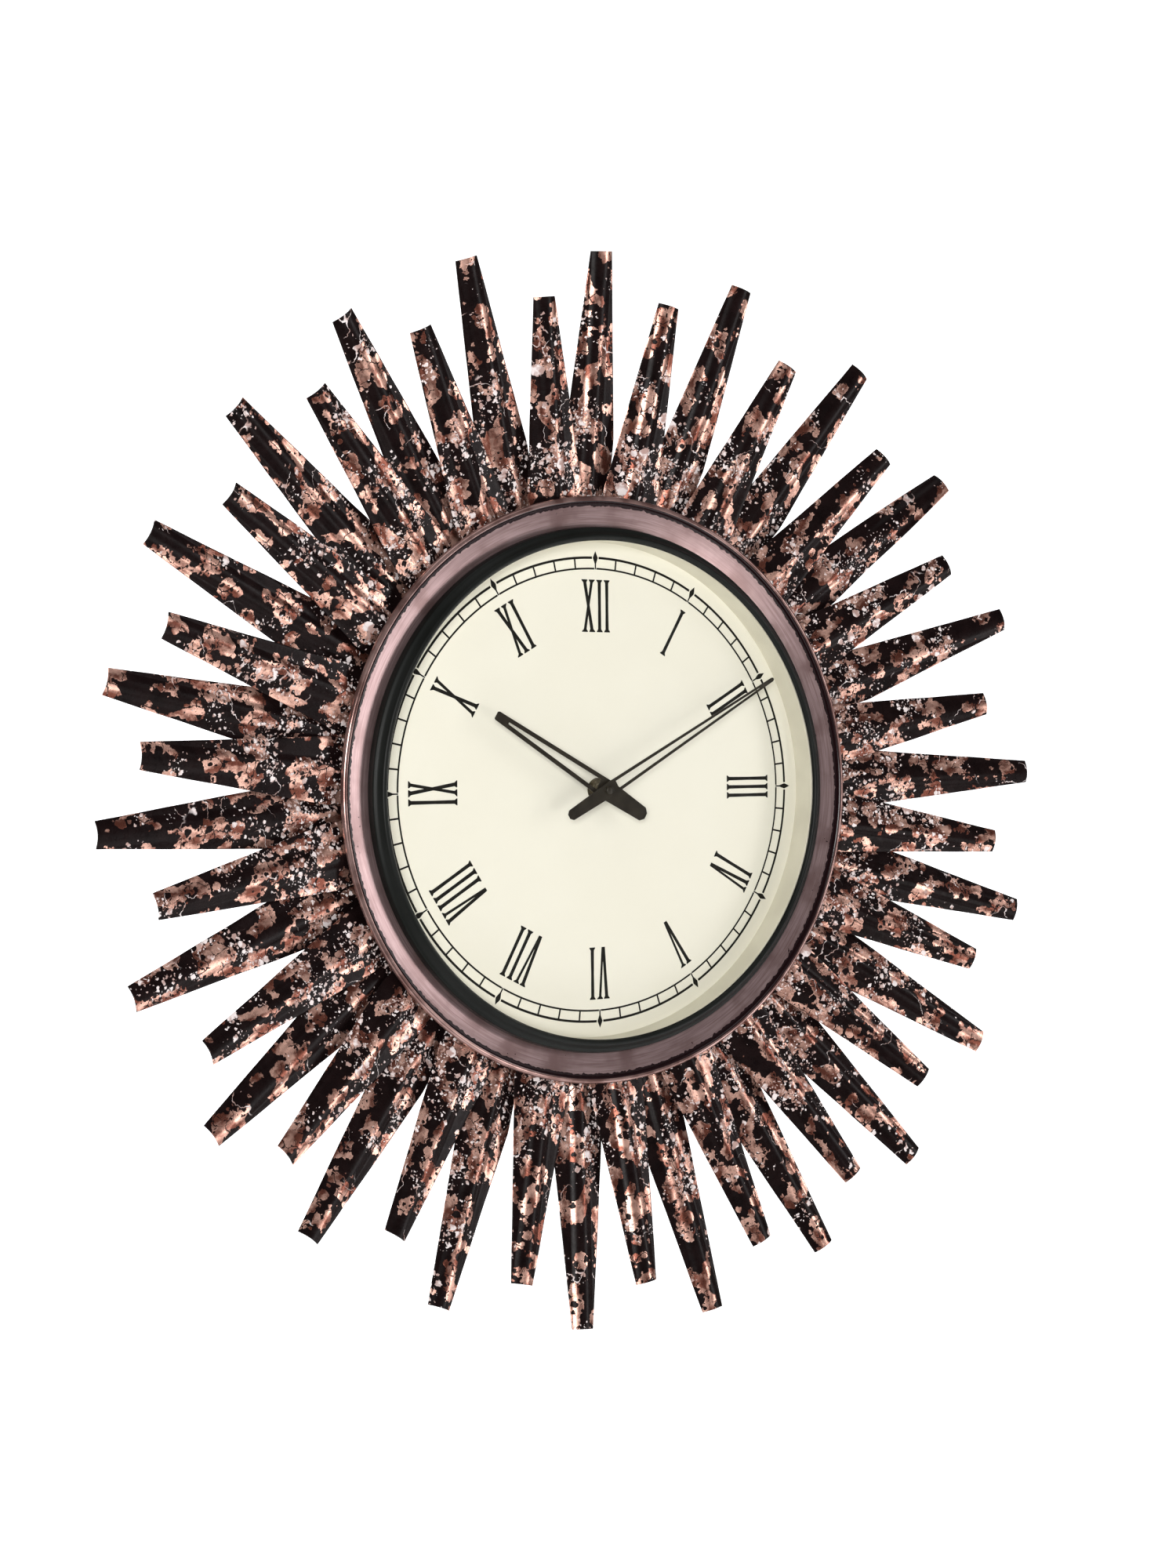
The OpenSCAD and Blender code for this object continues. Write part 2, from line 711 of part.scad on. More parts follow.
// Slotted hand pointing along +Y: tapering blade, solid tip, solid tail with cut corners
module hand_outline(len, hub_w, end_w, tail_w, bar_w, tip_len, hole_r) {
    slot_y = 6.5;
    slot_end = len - tip_len;
    slot_w = hub_w + (end_w - hub_w) * slot_y / len - 2 * bar_w;
    slot_end_w = max(0.3, hub_w + (end_w - hub_w) * slot_end / len - 2 * bar_w);
    corner = 0.3 * tail_w;
    difference() {
        polygon([
            [-hub_w / 2, 0], [-end_w / 2, len - 1.2], [-end_w / 2 + 0.8, len],
            [end_w / 2 - 0.8, len], [end_w / 2, len - 1.2], [hub_w / 2, 0],
            [tail_w / 2, corner - tail_len], [tail_w / 2 - corner, -tail_len],
            [corner - tail_w / 2, -tail_len], [-tail_w / 2, corner - tail_len]
        ]);
        polygon([
            [-slot_w / 2, slot_y], [-slot_end_w / 2, slot_end],
            [slot_end_w / 2, slot_end], [slot_w / 2, slot_y]
        ]);
        circle(hole_r);
    }
}

module hour_hand() {
    color("#3a342b") facing() rotate([0, 0, -hour_deg]) translate([0, 0, hour_hand_w])
        linear_extrude(hand_t) hand_outline(hour_len, 12, 5, 8.6, 2.5, 9, pipe_r);
}

module minute_hand() {
    color("#3a342b") facing() rotate([0, 0, -minute_deg]) translate([0, 0, minute_hand_w])
        linear_extrude(hand_t) hand_outline(minute_len, 8.6, 2.4, 6.4, 1.8, 12, arbor_r);
}

module hand_cap() {
    base_w = minute_hand_w + hand_t;
    color("#3a342b") facing() difference() {
        translate([0, 0, base_w]) rotate_extrude() polygon([
            [0, 0], [2.4, 0], [2.4, 0.8], [1.8, 1.4], [0, 1.6]
        ]);
        rod(arbor_r, base_w - cut, base_w + 1);
    }
}

// ---------- nodes ----------

bezel_ring();
rim_wire();
bezel_screws();
glass_gasket();
glass_lens();
rehaut_ring();
dial_plate();
dial_backing();
case_pan();
ray_hoop();
hoop_screws();
hoop_nuts();
rays_01();
rays_02();
rays_03();
rays_04();
rays_05();
rays_06();
rays_07();
rays_08();
rays_09();
rays_10();
rays_11();
long_ray_rivets();
short_ray_rivets();
long_ray_sleeves();
short_ray_sleeves();
hanger_plate();
hanger_rivets();
wall_bumpers();
movement_tub();
movement_cover();
mounting_gasket();
threaded_bush();
dial_washer();
hex_nut();
circuit_board();
quartz_crystal();
drive_coil();
stator_plate();
positive_contact();
negative_contact();
battery();
rotor_magnet();
rotor_pinion();
intermediate_wheel();
centre_wheel();
minute_arbor();
cannon_pinion();
minute_wheel();
hour_wheel();
setting_shaft();
setting_knob();
hour_hand();
minute_hand();
hand_cap();
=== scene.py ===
"""Looks of a sunburst wall clock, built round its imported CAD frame.

Shapes are drawn in the clock's own frame, in millimetres: u to the right and v up, as seen from
the front, and w the height above the wall. Shape.build() turns them to the row's frame in metres.
"""
import math

import bmesh
import bpy
from mathutils import Matrix, Vector, noise


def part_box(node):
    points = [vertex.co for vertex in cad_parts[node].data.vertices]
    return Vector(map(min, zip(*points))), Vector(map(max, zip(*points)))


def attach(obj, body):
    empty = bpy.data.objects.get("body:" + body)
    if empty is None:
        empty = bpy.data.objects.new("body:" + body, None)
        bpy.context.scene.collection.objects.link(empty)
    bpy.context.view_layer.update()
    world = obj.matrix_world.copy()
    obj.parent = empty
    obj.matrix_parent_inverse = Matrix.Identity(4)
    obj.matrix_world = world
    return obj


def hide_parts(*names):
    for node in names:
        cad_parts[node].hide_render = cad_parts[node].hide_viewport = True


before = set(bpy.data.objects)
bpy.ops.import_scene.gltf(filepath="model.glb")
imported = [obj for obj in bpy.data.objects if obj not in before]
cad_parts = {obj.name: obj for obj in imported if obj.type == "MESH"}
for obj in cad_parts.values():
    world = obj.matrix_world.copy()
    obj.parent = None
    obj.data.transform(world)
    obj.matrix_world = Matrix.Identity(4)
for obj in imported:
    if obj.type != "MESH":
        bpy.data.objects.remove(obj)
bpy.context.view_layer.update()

MM = 0.001
TURNS = 240

# Rays: section and outline, as the CAD rays have them
RAY_LEAN = math.radians(11.7)
RAY_GROUPS = 11
ROOT_S = 157.5
TIP_W = 13.5
LONG_RAY = {"root_w": 27, "wide_w": 33, "wide_s": 206}
SHORT_RAY = {"root_w": 32, "wide_w": 36.5, "wide_s": 178}
RIB_HALF = 6.25
CROWN_H = 5.0
EDGE_H = 0.8
FLANK_HALF = 19
FLANK_H = 2.4
SHEET = 0.8
RIVET_S = 163.5
HOOP_DROP = 2.35
BENT_RAY = 6

# Dial print
TRACK_R = 134.7
TRACK_IN_R = 128.4
NUMERAL_FOOT_R = 91.6
NUMERAL_H = 30.4
STROKE_W = 2.1
INK_H = 0.05
PRINT_GAP = 0.01
NUMERAL_TURN = {"IV": -1.2, "VII": -1.55, "VIII": -1.55}

# Hands
HOUR_HAND = {"length": 84, "hub_w": 12, "end_w": 5.5, "tail_w": 8.6, "bar_w": 2.5, "tip": 9}
MINUTE_HAND = {"length": 135, "hub_w": 8.6, "end_w": 2.4, "tail_w": 6.4, "bar_w": 1.8, "tip": 12}
HOUR_DEG = 301
MINUTE_DEG = 61
TAIL_LEN = 30.5
SLOT_START = 6.5


def new_object(name, data):
    """A new object in the scene"""
    holder = bpy.data.objects.new(name, data)
    bpy.context.scene.collection.objects.link(holder)
    return holder


def span(node):
    """Outer radius, lowest w and highest w of a node that is round about the clock's axis"""
    low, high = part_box(node)
    return high.x / MM, -high.y / MM, -low.y / MM


# ---------- shapes ----------

def to_row(points):
    """From the clock's frame in millimetres to the row's frame in metres"""
    return [(u * MM, -w * MM, v * MM) for u, v, w in points]


def clean(mesh):
    """Welds doubled points and turns every face outward"""
    work = bmesh.new()
    work.from_mesh(mesh)
    bmesh.ops.remove_doubles(work, verts=work.verts, dist=0.0005 * MM)
    bmesh.ops.recalc_face_normals(work, faces=work.faces)
    work.to_mesh(mesh)
    work.free()


class Shape:
    """Faces gathered for one piece"""

    def __init__(self):
        self.points = []
        self.faces = []
        self.finish = []
        self.paint = []

    def add(self, part, place=None, finish=0, paint=None):
        points, faces = part
        place = place or Matrix()
        first = len(self.points)
        self.points += [place @ Vector(p) for p in points]
        self.faces += [[first + i for i in face] for face in faces]
        self.finish += [finish] * len(faces)
        self.paint += paint or [(0, 0)] * len(points)
        return self

    def build(self, name, materials, body="case", replaces=(), slot=None, crease=35):
        mesh = bpy.data.meshes.new(name)
        mesh.from_pydata(to_row(self.points), [], self.faces)
        mesh.polygons.foreach_set("material_index", self.finish)
        layer = mesh.uv_layers.new(name="paint")
        for loop in mesh.loops:
            layer.data[loop.index].uv = self.paint[loop.vertex_index]
        clean(mesh)
        for material in materials:
            mesh.materials.append(material)
        mesh.shade_smooth()
        mesh.set_sharp_from_angle(angle=math.radians(crease))
        piece = new_object(name, mesh)
        piece.modifiers.new("normals", "WEIGHTED_NORMAL").keep_sharp = True
        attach(piece, body)
        if replaces:
            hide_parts(*replaces)
        return piece


def turned(profile, segments=TURNS, start=0, end=360):
    """A closed outline of (radius, w) turned round the w axis, clockwise from start to end"""
    whole = end - start == 360
    rows = segments if whole else segments + 1
    points = []
    for k in range(rows):
        a = math.radians(start + (end - start) * k / segments)
        points += [(r * math.sin(a), r * math.cos(a), w) for r, w in profile]
    count = len(profile)
    faces = []
    for k in range(segments):
        here = k * count
        there = (k + 1) % rows * count
        for i in range(count):
            j = (i + 1) % count
            faces.append((here + i, here + j, there + j, there + i))
    if not whole:
        faces.append(tuple(range(count)))
        faces.append(tuple(range(segments * count, rows * count)))
    return points, faces


def box_outline(left, right, low, high):
    """The four corners of an upright rectangle"""
    return [(left, low), (right, low), (right, high), (left, high)]


def prism(outline, low, high):
    """A straight prism on a flat outline of (u, v)"""
    count = len(outline)
    points = [(u, v, w) for w in (low, high) for u, v in outline]
    faces = [tuple(range(count)), tuple(range(count, 2 * count))]
    for i in range(count):
        j = (i + 1) % count
        faces.append((i, j, count + j, count + i))
    return points, faces


def slab(outlines, low, high, bevel):
    """A plate on an outer outline, with holes and softly rounded edges"""
    curve = bpy.data.curves.new("slab", "CURVE")
    curve.dimensions = "2D"
    curve.fill_mode = "BOTH"
    curve.extrude = (high - low) / 2 - bevel
    curve.bevel_depth = bevel
    curve.bevel_resolution = 2
    curve.offset = -bevel
    for outline in outlines:
        spline = curve.splines.new("POLY")
        spline.points.add(len(outline) - 1)
        for point, (u, v) in zip(spline.points, outline):
            point.co = (u, v, 0, 1)
        spline.use_cyclic_u = True
    holder = new_object("slab", curve)
    graph = bpy.context.evaluated_depsgraph_get()
    mesh = bpy.data.meshes.new_from_object(holder.evaluated_get(graph))
    middle = (low + high) / 2
    points = [(v.co.x, v.co.y, v.co.z + middle) for v in mesh.vertices]
    faces = [tuple(face.vertices) for face in mesh.polygons]
    bpy.data.objects.remove(holder)
    bpy.data.curves.remove(curve)
    bpy.data.meshes.remove(mesh)
    return points, faces


def make_turned(name, profile, material, node, slot, segments=TURNS, **more):
    """One turned piece in the place of a CAD node"""
    shape = Shape().add(turned(profile, segments))
    return shape.build(name, [material], replaces=[node], slot=slot, **more)


def rounded(outline, radius, steps=4):
    """A closed outline with its corners rounded, by less where a side is short"""
    out = []
    count = len(outline)
    for i in range(count):
        before = Vector(outline[i - 1])
        here = Vector(outline[i])
        after = Vector(outline[(i + 1) % count])
        back = before - here
        ahead = after - here
        half = back.angle(ahead) / 2
        if half > math.radians(80):
            out.append(tuple(here))
            continue
        reach = min(radius / math.tan(half), 0.45 * back.length, 0.45 * ahead.length)
        first = here + back.normalized() * reach
        last = here + ahead.normalized() * reach
        for k in range(steps + 1):
            t = k / steps
            out.append(tuple(first * (1 - t) ** 2 + here * (2 * t * (1 - t)) + last * t * t))
    return out


def arc(centre, radius, start, end, steps):
    """Points on an arc, counter-clockwise from +u"""
    points = []
    for k in range(steps + 1):
        a = math.radians(start + (end - start) * k / steps)
        points.append((centre[0] + radius * math.cos(a), centre[1] + radius * math.sin(a)))
    return points


def clockwise(degrees):
    """Turns a shape about the clock's axis, clockwise from twelve"""
    return Matrix.Rotation(-math.radians(degrees), 4, "Z")


def outward(degrees, w):
    """Stands a turned shape on its side, its axis along a radius at a height above the wall"""
    lift = Matrix.Translation((0, 0, w))
    return clockwise(degrees) @ lift @ Matrix.Rotation(-math.pi / 2, 4, "X")


# ---------- materials ----------

class Finish:
    """One procedural material and the nodes that make it"""

    def __init__(self, name):
        self.material = bpy.data.materials.new(name)
        self.material.use_nodes = True
        self.tree = self.material.node_tree
        self.tree.nodes.clear()

    def feed(self, socket, value):
        if isinstance(value, bpy.types.Node):
            value = value.outputs[0]
        if isinstance(value, bpy.types.NodeSocket):
            self.tree.links.new(value, socket)
        elif value is not None:
            socket.default_value = value

    def node(self, kind, *values, named=None, **settings):
        node = self.tree.nodes.new("ShaderNode" + kind)
        for key, value in settings.items():
            setattr(node, key, value)
        for i, value in enumerate(values):
            self.feed(node.inputs[i], value)
        for key, value in (named or {}).items():
            self.feed(node.inputs[key], value)
        return node

    def math(self, operation, a, b=None):
        return self.node("Math", a, b, operation=operation).outputs[0]

    def times(self, a, b):
        """a * b"""
        return self.math("MULTIPLY", a, b)

    def scale(self, value, factor, offset):
        """value * factor + offset"""
        return self.node("Math", value, factor, offset, operation="MULTIPLY_ADD").outputs[0]

    def shift(self, vector, by, operation="ADD"):
        return self.node("VectorMath", vector, by, operation=operation).outputs[0]

    def step(self, value, low, high):
        """0 below low, 1 above high, smooth between; reversed where low is the larger"""
        return self.node(
            "MapRange", value, low, high, interpolation_type="SMOOTHSTEP"
        ).outputs[0]

    def mix(self, share, a, b):
        node = self.node("Mix", share, data_type="RGBA")
        for socket, value in ((node.inputs[6], a), (node.inputs[7], b)):
            self.feed(socket, (*value, 1) if isinstance(value, tuple) else value)
        return node.outputs[2]

    def place(self):
        """Position in the row's frame, in millimetres"""
        spot = self.node("TexCoord").outputs["Object"]
        return self.node("VectorMath", spot, (1 / MM,) * 3, operation="MULTIPLY").outputs[0]

    def noise(self, vector, size, detail=2, flat=False, output=0):
        """Noise with features about size across"""
        node = self.node("TexNoise", noise_dimensions="2D" if flat else "3D")
        self.feed(node.inputs["Vector"], vector)
        node.inputs["Scale"].default_value = 1 / size
        node.inputs["Detail"].default_value = detail
        return node.outputs[output]

    def scaled(self, share, factor):
        """The same share of drops over the ground, times a factor"""
        def weaker(at):
            return self.times(share(at), factor)
        return weaker

    def drops(self, spots, cell, small, large, share, seed):
        """Round drops in flat cells, small to large across, each kept whole where share says"""
        moved = self.shift(spots, (seed * 7.7, seed * 3.1, 0))
        cells = self.node("TexVoronoi", voronoi_dimensions="2D")
        self.feed(cells.inputs["Vector"], moved)
        cells.inputs["Scale"].default_value = 1 / cell
        pick = self.node("SeparateColor", cells.outputs["Color"])
        size = self.times(pick.outputs[0], pick.outputs[0])
        radius = self.scale(size, (large - small) / 2, small / 2)
        away = self.math("SUBTRACT", self.times(cells.outputs["Distance"], cell), radius)
        centre = self.shift(cells.outputs["Position"], (-seed * 7.7, -seed * 3.1, 0))
        kept = self.math("GREATER_THAN", share(centre), pick.outputs[1])
        return self.times(self.step(away, 0.12, -0.12), kept)

    def cracks(self, spots, cell):
        """Thin lines round flat cells"""
        lines = self.node("TexVoronoi", voronoi_dimensions="2D", feature="DISTANCE_TO_EDGE")
        self.feed(lines.inputs["Vector"], spots)
        lines.inputs["Scale"].default_value = 1 / cell
        return self.step(self.times(lines.outputs["Distance"], cell), 0.42, 0.16)

    def highest(self, *masks):
        top = masks[0]
        for mask in masks[1:]:
            top = self.math("MAXIMUM", top, mask)
        return top

    def bump(self, height, depth, strength=1.0):
        values = {"Strength": strength, "Distance": depth * MM, "Height": height}
        return self.node("Bump", named=values)

    def surface(self, color, metallic, roughness, normal, **more):
        values = {"Base Color": color, "Metallic": metallic, "Roughness": roughness}
        values["Normal"] = normal
        values.update({key.replace("_", " "): value for key, value in more.items()})
        return self.done(self.node("BsdfPrincipled", named=values))

    def done(self, shader):
        self.node("OutputMaterial", shader)
        return self.material


def splatter_paint():
    """Near-black enamel with splashed copper patches and drops, and a silver-pink spatter"""
    f = Finish("splatter_paint")
    flat = f.node("UVMap", uv_map="paint").outputs[0]
    stir = f.shift(f.noise(flat, 2.4, 2, True, 1), (0.5, 0.5, 0.5), "SUBTRACT")
    spots = f.shift(flat, f.shift(stir, (2.4, 2.4, 0), "MULTIPLY"))
    along = f.node("SeparateXYZ", flat).outputs[1]
    rootward = f.step(along, 300, 165)

    def ground(at):
        return f.noise(f.shift(at, (1, 0.62, 1), "MULTIPLY"), 10.5, 1, True)

    def spatter(at):
        return f.noise(f.shift(at, (91, 37, 0)), 24, 1, True)

    def by_copper(at):
        return f.step(ground(at), 0.44, 0.62)

    def by_black(at):
        return f.step(spatter(at), 0.25, 0.62)

    def by_silver(at):
        thick = f.scale(rootward, 0.16, -0.07)
        return f.step(f.math("ADD", spatter(f.shift(at, (55, 21, 0))), thick), 0.42, 0.80)

    bias = f.scale(rootward, 0.065, -0.032)
    copper = f.highest(
        f.step(f.math("ADD", ground(spots), bias), 0.548, 0.555),
        f.drops(spots, 11, 4, 12, by_copper, 1),
        f.drops(spots, 6.2, 2, 6, by_copper, 2),
        f.drops(spots, 3.2, 0.7, 2.9, by_copper, 3),
    )
    specks = f.highest(
        f.drops(spots, 7.5, 1.2, 5, by_black, 4),
        f.drops(spots, 3.4, 0.4, 2.6, f.scaled(by_black, 0.6), 5),
        f.drops(spots, 1.9, 0.2, 1.2, f.scaled(by_black, 0.45), 9),
    )
    veins = f.times(f.cracks(spots, 6.5), f.step(f.noise(spots, 9, 1, True), 0.47, 0.54))
    specks = f.highest(specks, veins)
    copper = f.times(copper, f.math("SUBTRACT", 1.0, specks))
    silver = f.highest(
        f.drops(spots, 11, 1.5, 8, f.scaled(by_silver, 0.35), 6),
        f.drops(spots, 4.6, 0.8, 3.4, by_silver, 7),
        f.drops(spots, 2.3, 0.4, 1.7, f.scaled(by_silver, 0.85), 8),
        f.drops(spots, 1.5, 0.25, 1.0, f.scaled(by_silver, 0.4), 10),
    )
    thread = f.noise(f.shift(spots, (13, 5, 0)), 17, 1, True)
    thread = f.math("ABSOLUTE", f.math("SUBTRACT", thread, 0.5))
    run = f.times(f.step(thread, 0.010, 0.004), f.step(spatter(spots), 0.60, 0.66))
    silver = f.math("MAXIMUM", silver, run)

    tone = f.noise(f.shift(spots, (1, 0.45, 1), "MULTIPLY"), 6, 4, True)
    copper_tone = f.mix(f.step(tone, 0.36, 0.66), (0.15, 0.05, 0.034), (0.76, 0.45, 0.36))
    silver_tone = f.step(f.noise(spots, 5, 2, True), 0.38, 0.62)
    silver_tone = f.mix(silver_tone, (0.78, 0.70, 0.69), (0.42, 0.28, 0.25))
    black_tone = f.mix(f.noise(spots, 9, 3, True), (0.002, 0.001, 0.001), (0.012, 0.006, 0.006))
    color = f.mix(copper, black_tone, copper_tone)
    color = f.mix(silver, color, silver_tone)
    metal = f.times(copper, 0.72)
    metal = f.times(metal, f.math("SUBTRACT", 1.0, silver))
    rough = f.scale(f.noise(spots, 3, 3, True), 0.22, 0.17)
    height = f.scale(copper, 0.45, silver)
    height = f.math("ADD", height, f.times(f.noise(spots, 2, 3, True), 0.25))
    return f.surface(color, metal, rough, f.bump(height, 0.14, 0.8), Specular_IOR_Level=0.07)


def bezel_lacquer():
    """Brushed rose lacquer, worn to copper along the rolled rim, with a black band where face
    meets curl: ragged chips at its inner edge and painted shade in the crease and over the curl's
    inner side
    """
    f = Finish("bezel_lacquer")
    here = f.place()
    axes = f.node("SeparateXYZ", here)
    across = f.times(axes.outputs[0], axes.outputs[0])
    radius = f.scale(axes.outputs[2], axes.outputs[2], across)
    radius = f.math("SQRT", radius)
    brush = f.node("CombineXYZ")
    stroke = f.times(radius, 0.16)
    for socket, axis in ((0, 0), (1, 2)):
        f.feed(brush.inputs[socket], f.math("DIVIDE", axes.outputs[axis], stroke))
    f.feed(brush.inputs[2], f.times(radius, 1.4))
    streak = f.noise(brush.outputs[0], 1, 4)
    cloud = f.noise(here, 22, 3)
    rose = f.mix(f.step(streak, 0.3, 0.72), (0.255, 0.168, 0.165), (0.385, 0.275, 0.274))
    rose = f.mix(f.step(cloud, 0.42, 0.72), rose, (0.20, 0.125, 0.120))
    worn = f.step(f.noise(here, 14, 3), 0.35, 0.65)
    copper = f.mix(worn, (0.16, 0.085, 0.075), (0.36, 0.23, 0.21))
    on_rim = f.step(radius, RIM_EDGE_R - 0.2, RIM_EDGE_R + 0.5)
    color = f.mix(on_rim, rose, copper)
    # Black band at the rim's foot. Its ragged inner edge is chipped lacquer. Its outer part, out
    # to about RIM_EDGE_R + 1.7, is painted shade in the crease and on the curl's inner side. dark
    # below holds these together with the pits.
    ragged = f.scale(f.noise(here, 3.2, 4), 3.4, radius)
    chips_and_crease_shade = f.step(ragged, RIM_EDGE_R + 0.15, RIM_EDGE_R + 0.4)
    chips_and_crease_shade = f.times(chips_and_crease_shade, f.step(radius, RIM_EDGE_R + 1.7, RIM_EDGE_R + 1.1))
    pits = f.times(f.step(f.noise(here, 2.2, 2), 0.70, 0.73), f.step(cloud, 0.5, 0.6))
    dark = f.math("MAXIMUM", chips_and_crease_shade, pits)
    color = f.mix(dark, color, (0.012, 0.004, 0.005))
    rough = f.scale(streak, 0.10, 0.19)
    rough = f.math("SUBTRACT", rough, f.times(on_rim, 0.06))
    height = f.math("SUBTRACT", f.times(streak, 0.12), dark)
    metal = f.times(f.math("SUBTRACT", 1.0, dark), 0.65)
    return f.surface(color, metal, rough, f.bump(height, 0.05, 0.6), Specular_IOR_Level=0.3)


def mottled(name, dark, light, size, metallic, roughness, grain, depth, **more):
    """A ground that drifts between two colours, with a fine grain in its relief and its sheen"""
    f = Finish(name)
    here = f.place()
    cloud = f.noise(here, size, 4)
    fine = f.noise(here, grain, 3)
    color = f.mix(f.step(cloud, 0.3, 0.7), dark, light)
    rough = f.scale(fine, 0.2, roughness - 0.1)
    return f.surface(color, metallic, rough, f.bump(fine, depth, 0.8), **more)


def black_back():
    """Plain black enamel on the rays' backs"""
    return mottled(
        "ray_back", (0.010, 0.009, 0.009), (0.022, 0.018, 0.018), 14, 0.0, 0.38, 1.2, 0.05
    )


def black_case_paint():
    """Semi-matt black enamel with a slight orange peel, dust and rubbed places"""
    f = Finish("black_case_paint")
    here = f.place()
    peel = f.noise(here, 1.8, 2)
    cloud = f.noise(here, 35, 4)
    dust = f.step(f.noise(here, 0.9, 2), 0.70, 0.78)
    color = f.mix(f.step(cloud, 0.35, 0.7), (0.012, 0.011, 0.011), (0.030, 0.027, 0.026))
    color = f.mix(f.times(dust, 0.35), color, (0.20, 0.18, 0.16))
    rough = f.scale(cloud, 0.25, 0.28)
    return f.surface(color, 0.0, rough, f.bump(peel, 0.05, 0.8), Coat_Weight=0.1)


def black_gasket():
    """Satin black rubber with a faint mottle and a fine grain"""
    return mottled(
        "black_gasket", (0.004, 0.005, 0.004), (0.008, 0.009, 0.008), 30, 0.0, 0.42, 0.7, 0.012,
        Specular_IOR_Level=0.15,
    )


def cream_dial():
    """Matt cream print ground with a faint paper tooth"""
    return mottled(
        "cream_dial", (0.862, 0.836, 0.722), (0.882, 0.858, 0.748), 60, 0.0, 0.62, 0.5, 0.01
    )


def cream_wall():
    """Matt cream plastic of the wall between dial and glass; its cream is painted darker and
    browner than the dial's, as painted shade on the recessed wall
    """
    return mottled("cream_wall", (0.67, 0.64, 0.53), (0.75, 0.72, 0.60), 25, 0.0, 0.5, 0.8, 0.01)


def dial_ink():
    """Black screen print, slightly uneven in density"""
    return mottled(
        "dial_ink", (0.006, 0.005, 0.004), (0.012, 0.011, 0.008), 3, 0.0, 0.5, 0.4, 0.005,
        Specular_IOR_Level=0.12,
    )


def bronze_paint():
    """Dark olive-bronze enamel of the hands"""
    return mottled(
        "bronze_paint", (0.016, 0.012, 0.008), (0.030, 0.024, 0.016), 9, 0.2, 0.34, 0.5, 0.01,
        Specular_IOR_Level=0.3,
    )


def clear_glass():
    """Thin clear glass: light passes straight through and only the Fresnel part is mirrored"""
    f = Finish("clear_glass")
    smear = f.noise(f.place(), 70, 3)
    sheen = f.node("BsdfGlossy", named={"Roughness": f.times(smear, 0.06)})
    through = f.node("BsdfTransparent", (0.985, 0.985, 0.98, 1))
    share = f.times(f.node("Fresnel", 1.38).outputs[0], 0.3)
    return f.done(f.node("MixShader", share, through, sheen))


def plated_steel():
    """Zinc-plated steel with soft spangle"""
    return mottled(
        "plated_steel", (0.40, 0.41, 0.42), (0.62, 0.62, 0.60), 2.5, 0.95, 0.34, 0.4, 0.02
    )


def hardboard():
    """Raw pressed hardboard with fibres"""
    return mottled("hardboard", (0.16, 0.10, 0.06), (0.30, 0.21, 0.13), 1.5, 0.0, 0.8, 0.5, 0.1)


def movement_plastic():
    """Spark-eroded black plastic"""
    return mottled(
        "movement_plastic", (0.018, 0.018, 0.020), (0.030, 0.030, 0.033), 18, 0.0, 0.5, 0.35, 0.05
    )


def brass():
    """Turned brass, slightly tarnished"""
    return mottled("brass", (0.15, 0.13, 0.09), (0.32, 0.28, 0.20), 2, 0.95, 0.34, 0.3, 0.01)


def circuit_green():
    """Solder mask over a printed board"""
    return mottled("circuit_green", (0.01, 0.09, 0.03), (0.02, 0.16, 0.06), 2, 0.0, 0.3, 0.4, 0.02)


def copper_winding():
    """Fine enamelled wire in even turns along the bobbin"""
    f = Finish("copper_winding")
    here = f.node("SeparateXYZ", f.place())
    turns = f.math("SINE", f.times(here.outputs[0], 26))
    color = f.mix(f.step(turns, -0.9, 0.6), (0.14, 0.04, 0.015), (0.62, 0.24, 0.09))
    return f.surface(color, 0.7, 0.35, f.bump(turns, 0.06, 0.8))


def stator_iron():
    """Satin iron with rolling marks"""
    return mottled("stator_iron", (0.28, 0.28, 0.29), (0.42, 0.42, 0.43), 3, 0.9, 0.42, 0.3, 0.02)


def magnet_iron():
    """Ground dark magnet"""
    return mottled("magnet_iron", (0.06, 0.06, 0.065), (0.11, 0.11, 0.12), 1, 0.8, 0.5, 0.2, 0.03)


def white_acetal():
    """Moulded white acetal"""
    return mottled("white_acetal", (0.74, 0.72, 0.65), (0.86, 0.84, 0.77), 4, 0.0, 0.42, 0.3, 0.01)


def battery_shell():
    """Printed film in two plain bands along the cell"""
    f = Finish("battery_shell")
    here = f.place()
    along = f.node("SeparateXYZ", here).outputs[0]
    band = f.step(along, 9.8, 10.1)
    wear = f.noise(here, 3, 4)
    color = f.mix(band, (0.015, 0.035, 0.11), (0.50, 0.30, 0.06))
    color = f.mix(f.step(wear, 0.66, 0.74), color, (0.16, 0.17, 0.19))
    rough = f.scale(wear, 0.15, 0.18)
    return f.surface(color, 0.25, rough, f.bump(wear, 0.02, 0.5), Coat_Weight=0.5)


# ---------- rays ----------

def rays_in_frame():
    """Direction, length and lift of every CAD ray, clockwise from twelve, read from its tip"""
    found = []
    turn = Matrix.Rotation(-RAY_LEAN, 4, "X")
    for group in range(RAY_GROUPS):
        middle = (group + 0.5) * 360 / RAY_GROUPS
        tips = []
        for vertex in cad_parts[f"rays_{group + 1:02d}"].data.vertices:
            u, v, w = vertex.co.x / MM, vertex.co.z / MM, -vertex.co.y / MM
            if math.hypot(u, v) > 1.5 * ROOT_S:
                off = (math.degrees(math.atan2(u, v)) - middle + 180) % 360 - 180
                tips.append((middle + off, u, v, w))
        tips.sort()
        bunches = [[tips[0]]]
        for tip in tips[1:]:
            if tip[0] - bunches[-1][-1][0] > 2:
                bunches.append([])
            bunches[-1].append(tip)
        for bunch in bunches:
            direction = (bunch[0][0] + bunch[-1][0]) / 2
            back = turn @ clockwise(-direction)
            flat = [back @ Vector(tip[1:]) for tip in bunch]
            found.append((direction, max(p.y for p in flat), max(p.z for p in flat) - CROWN_H))
    return found


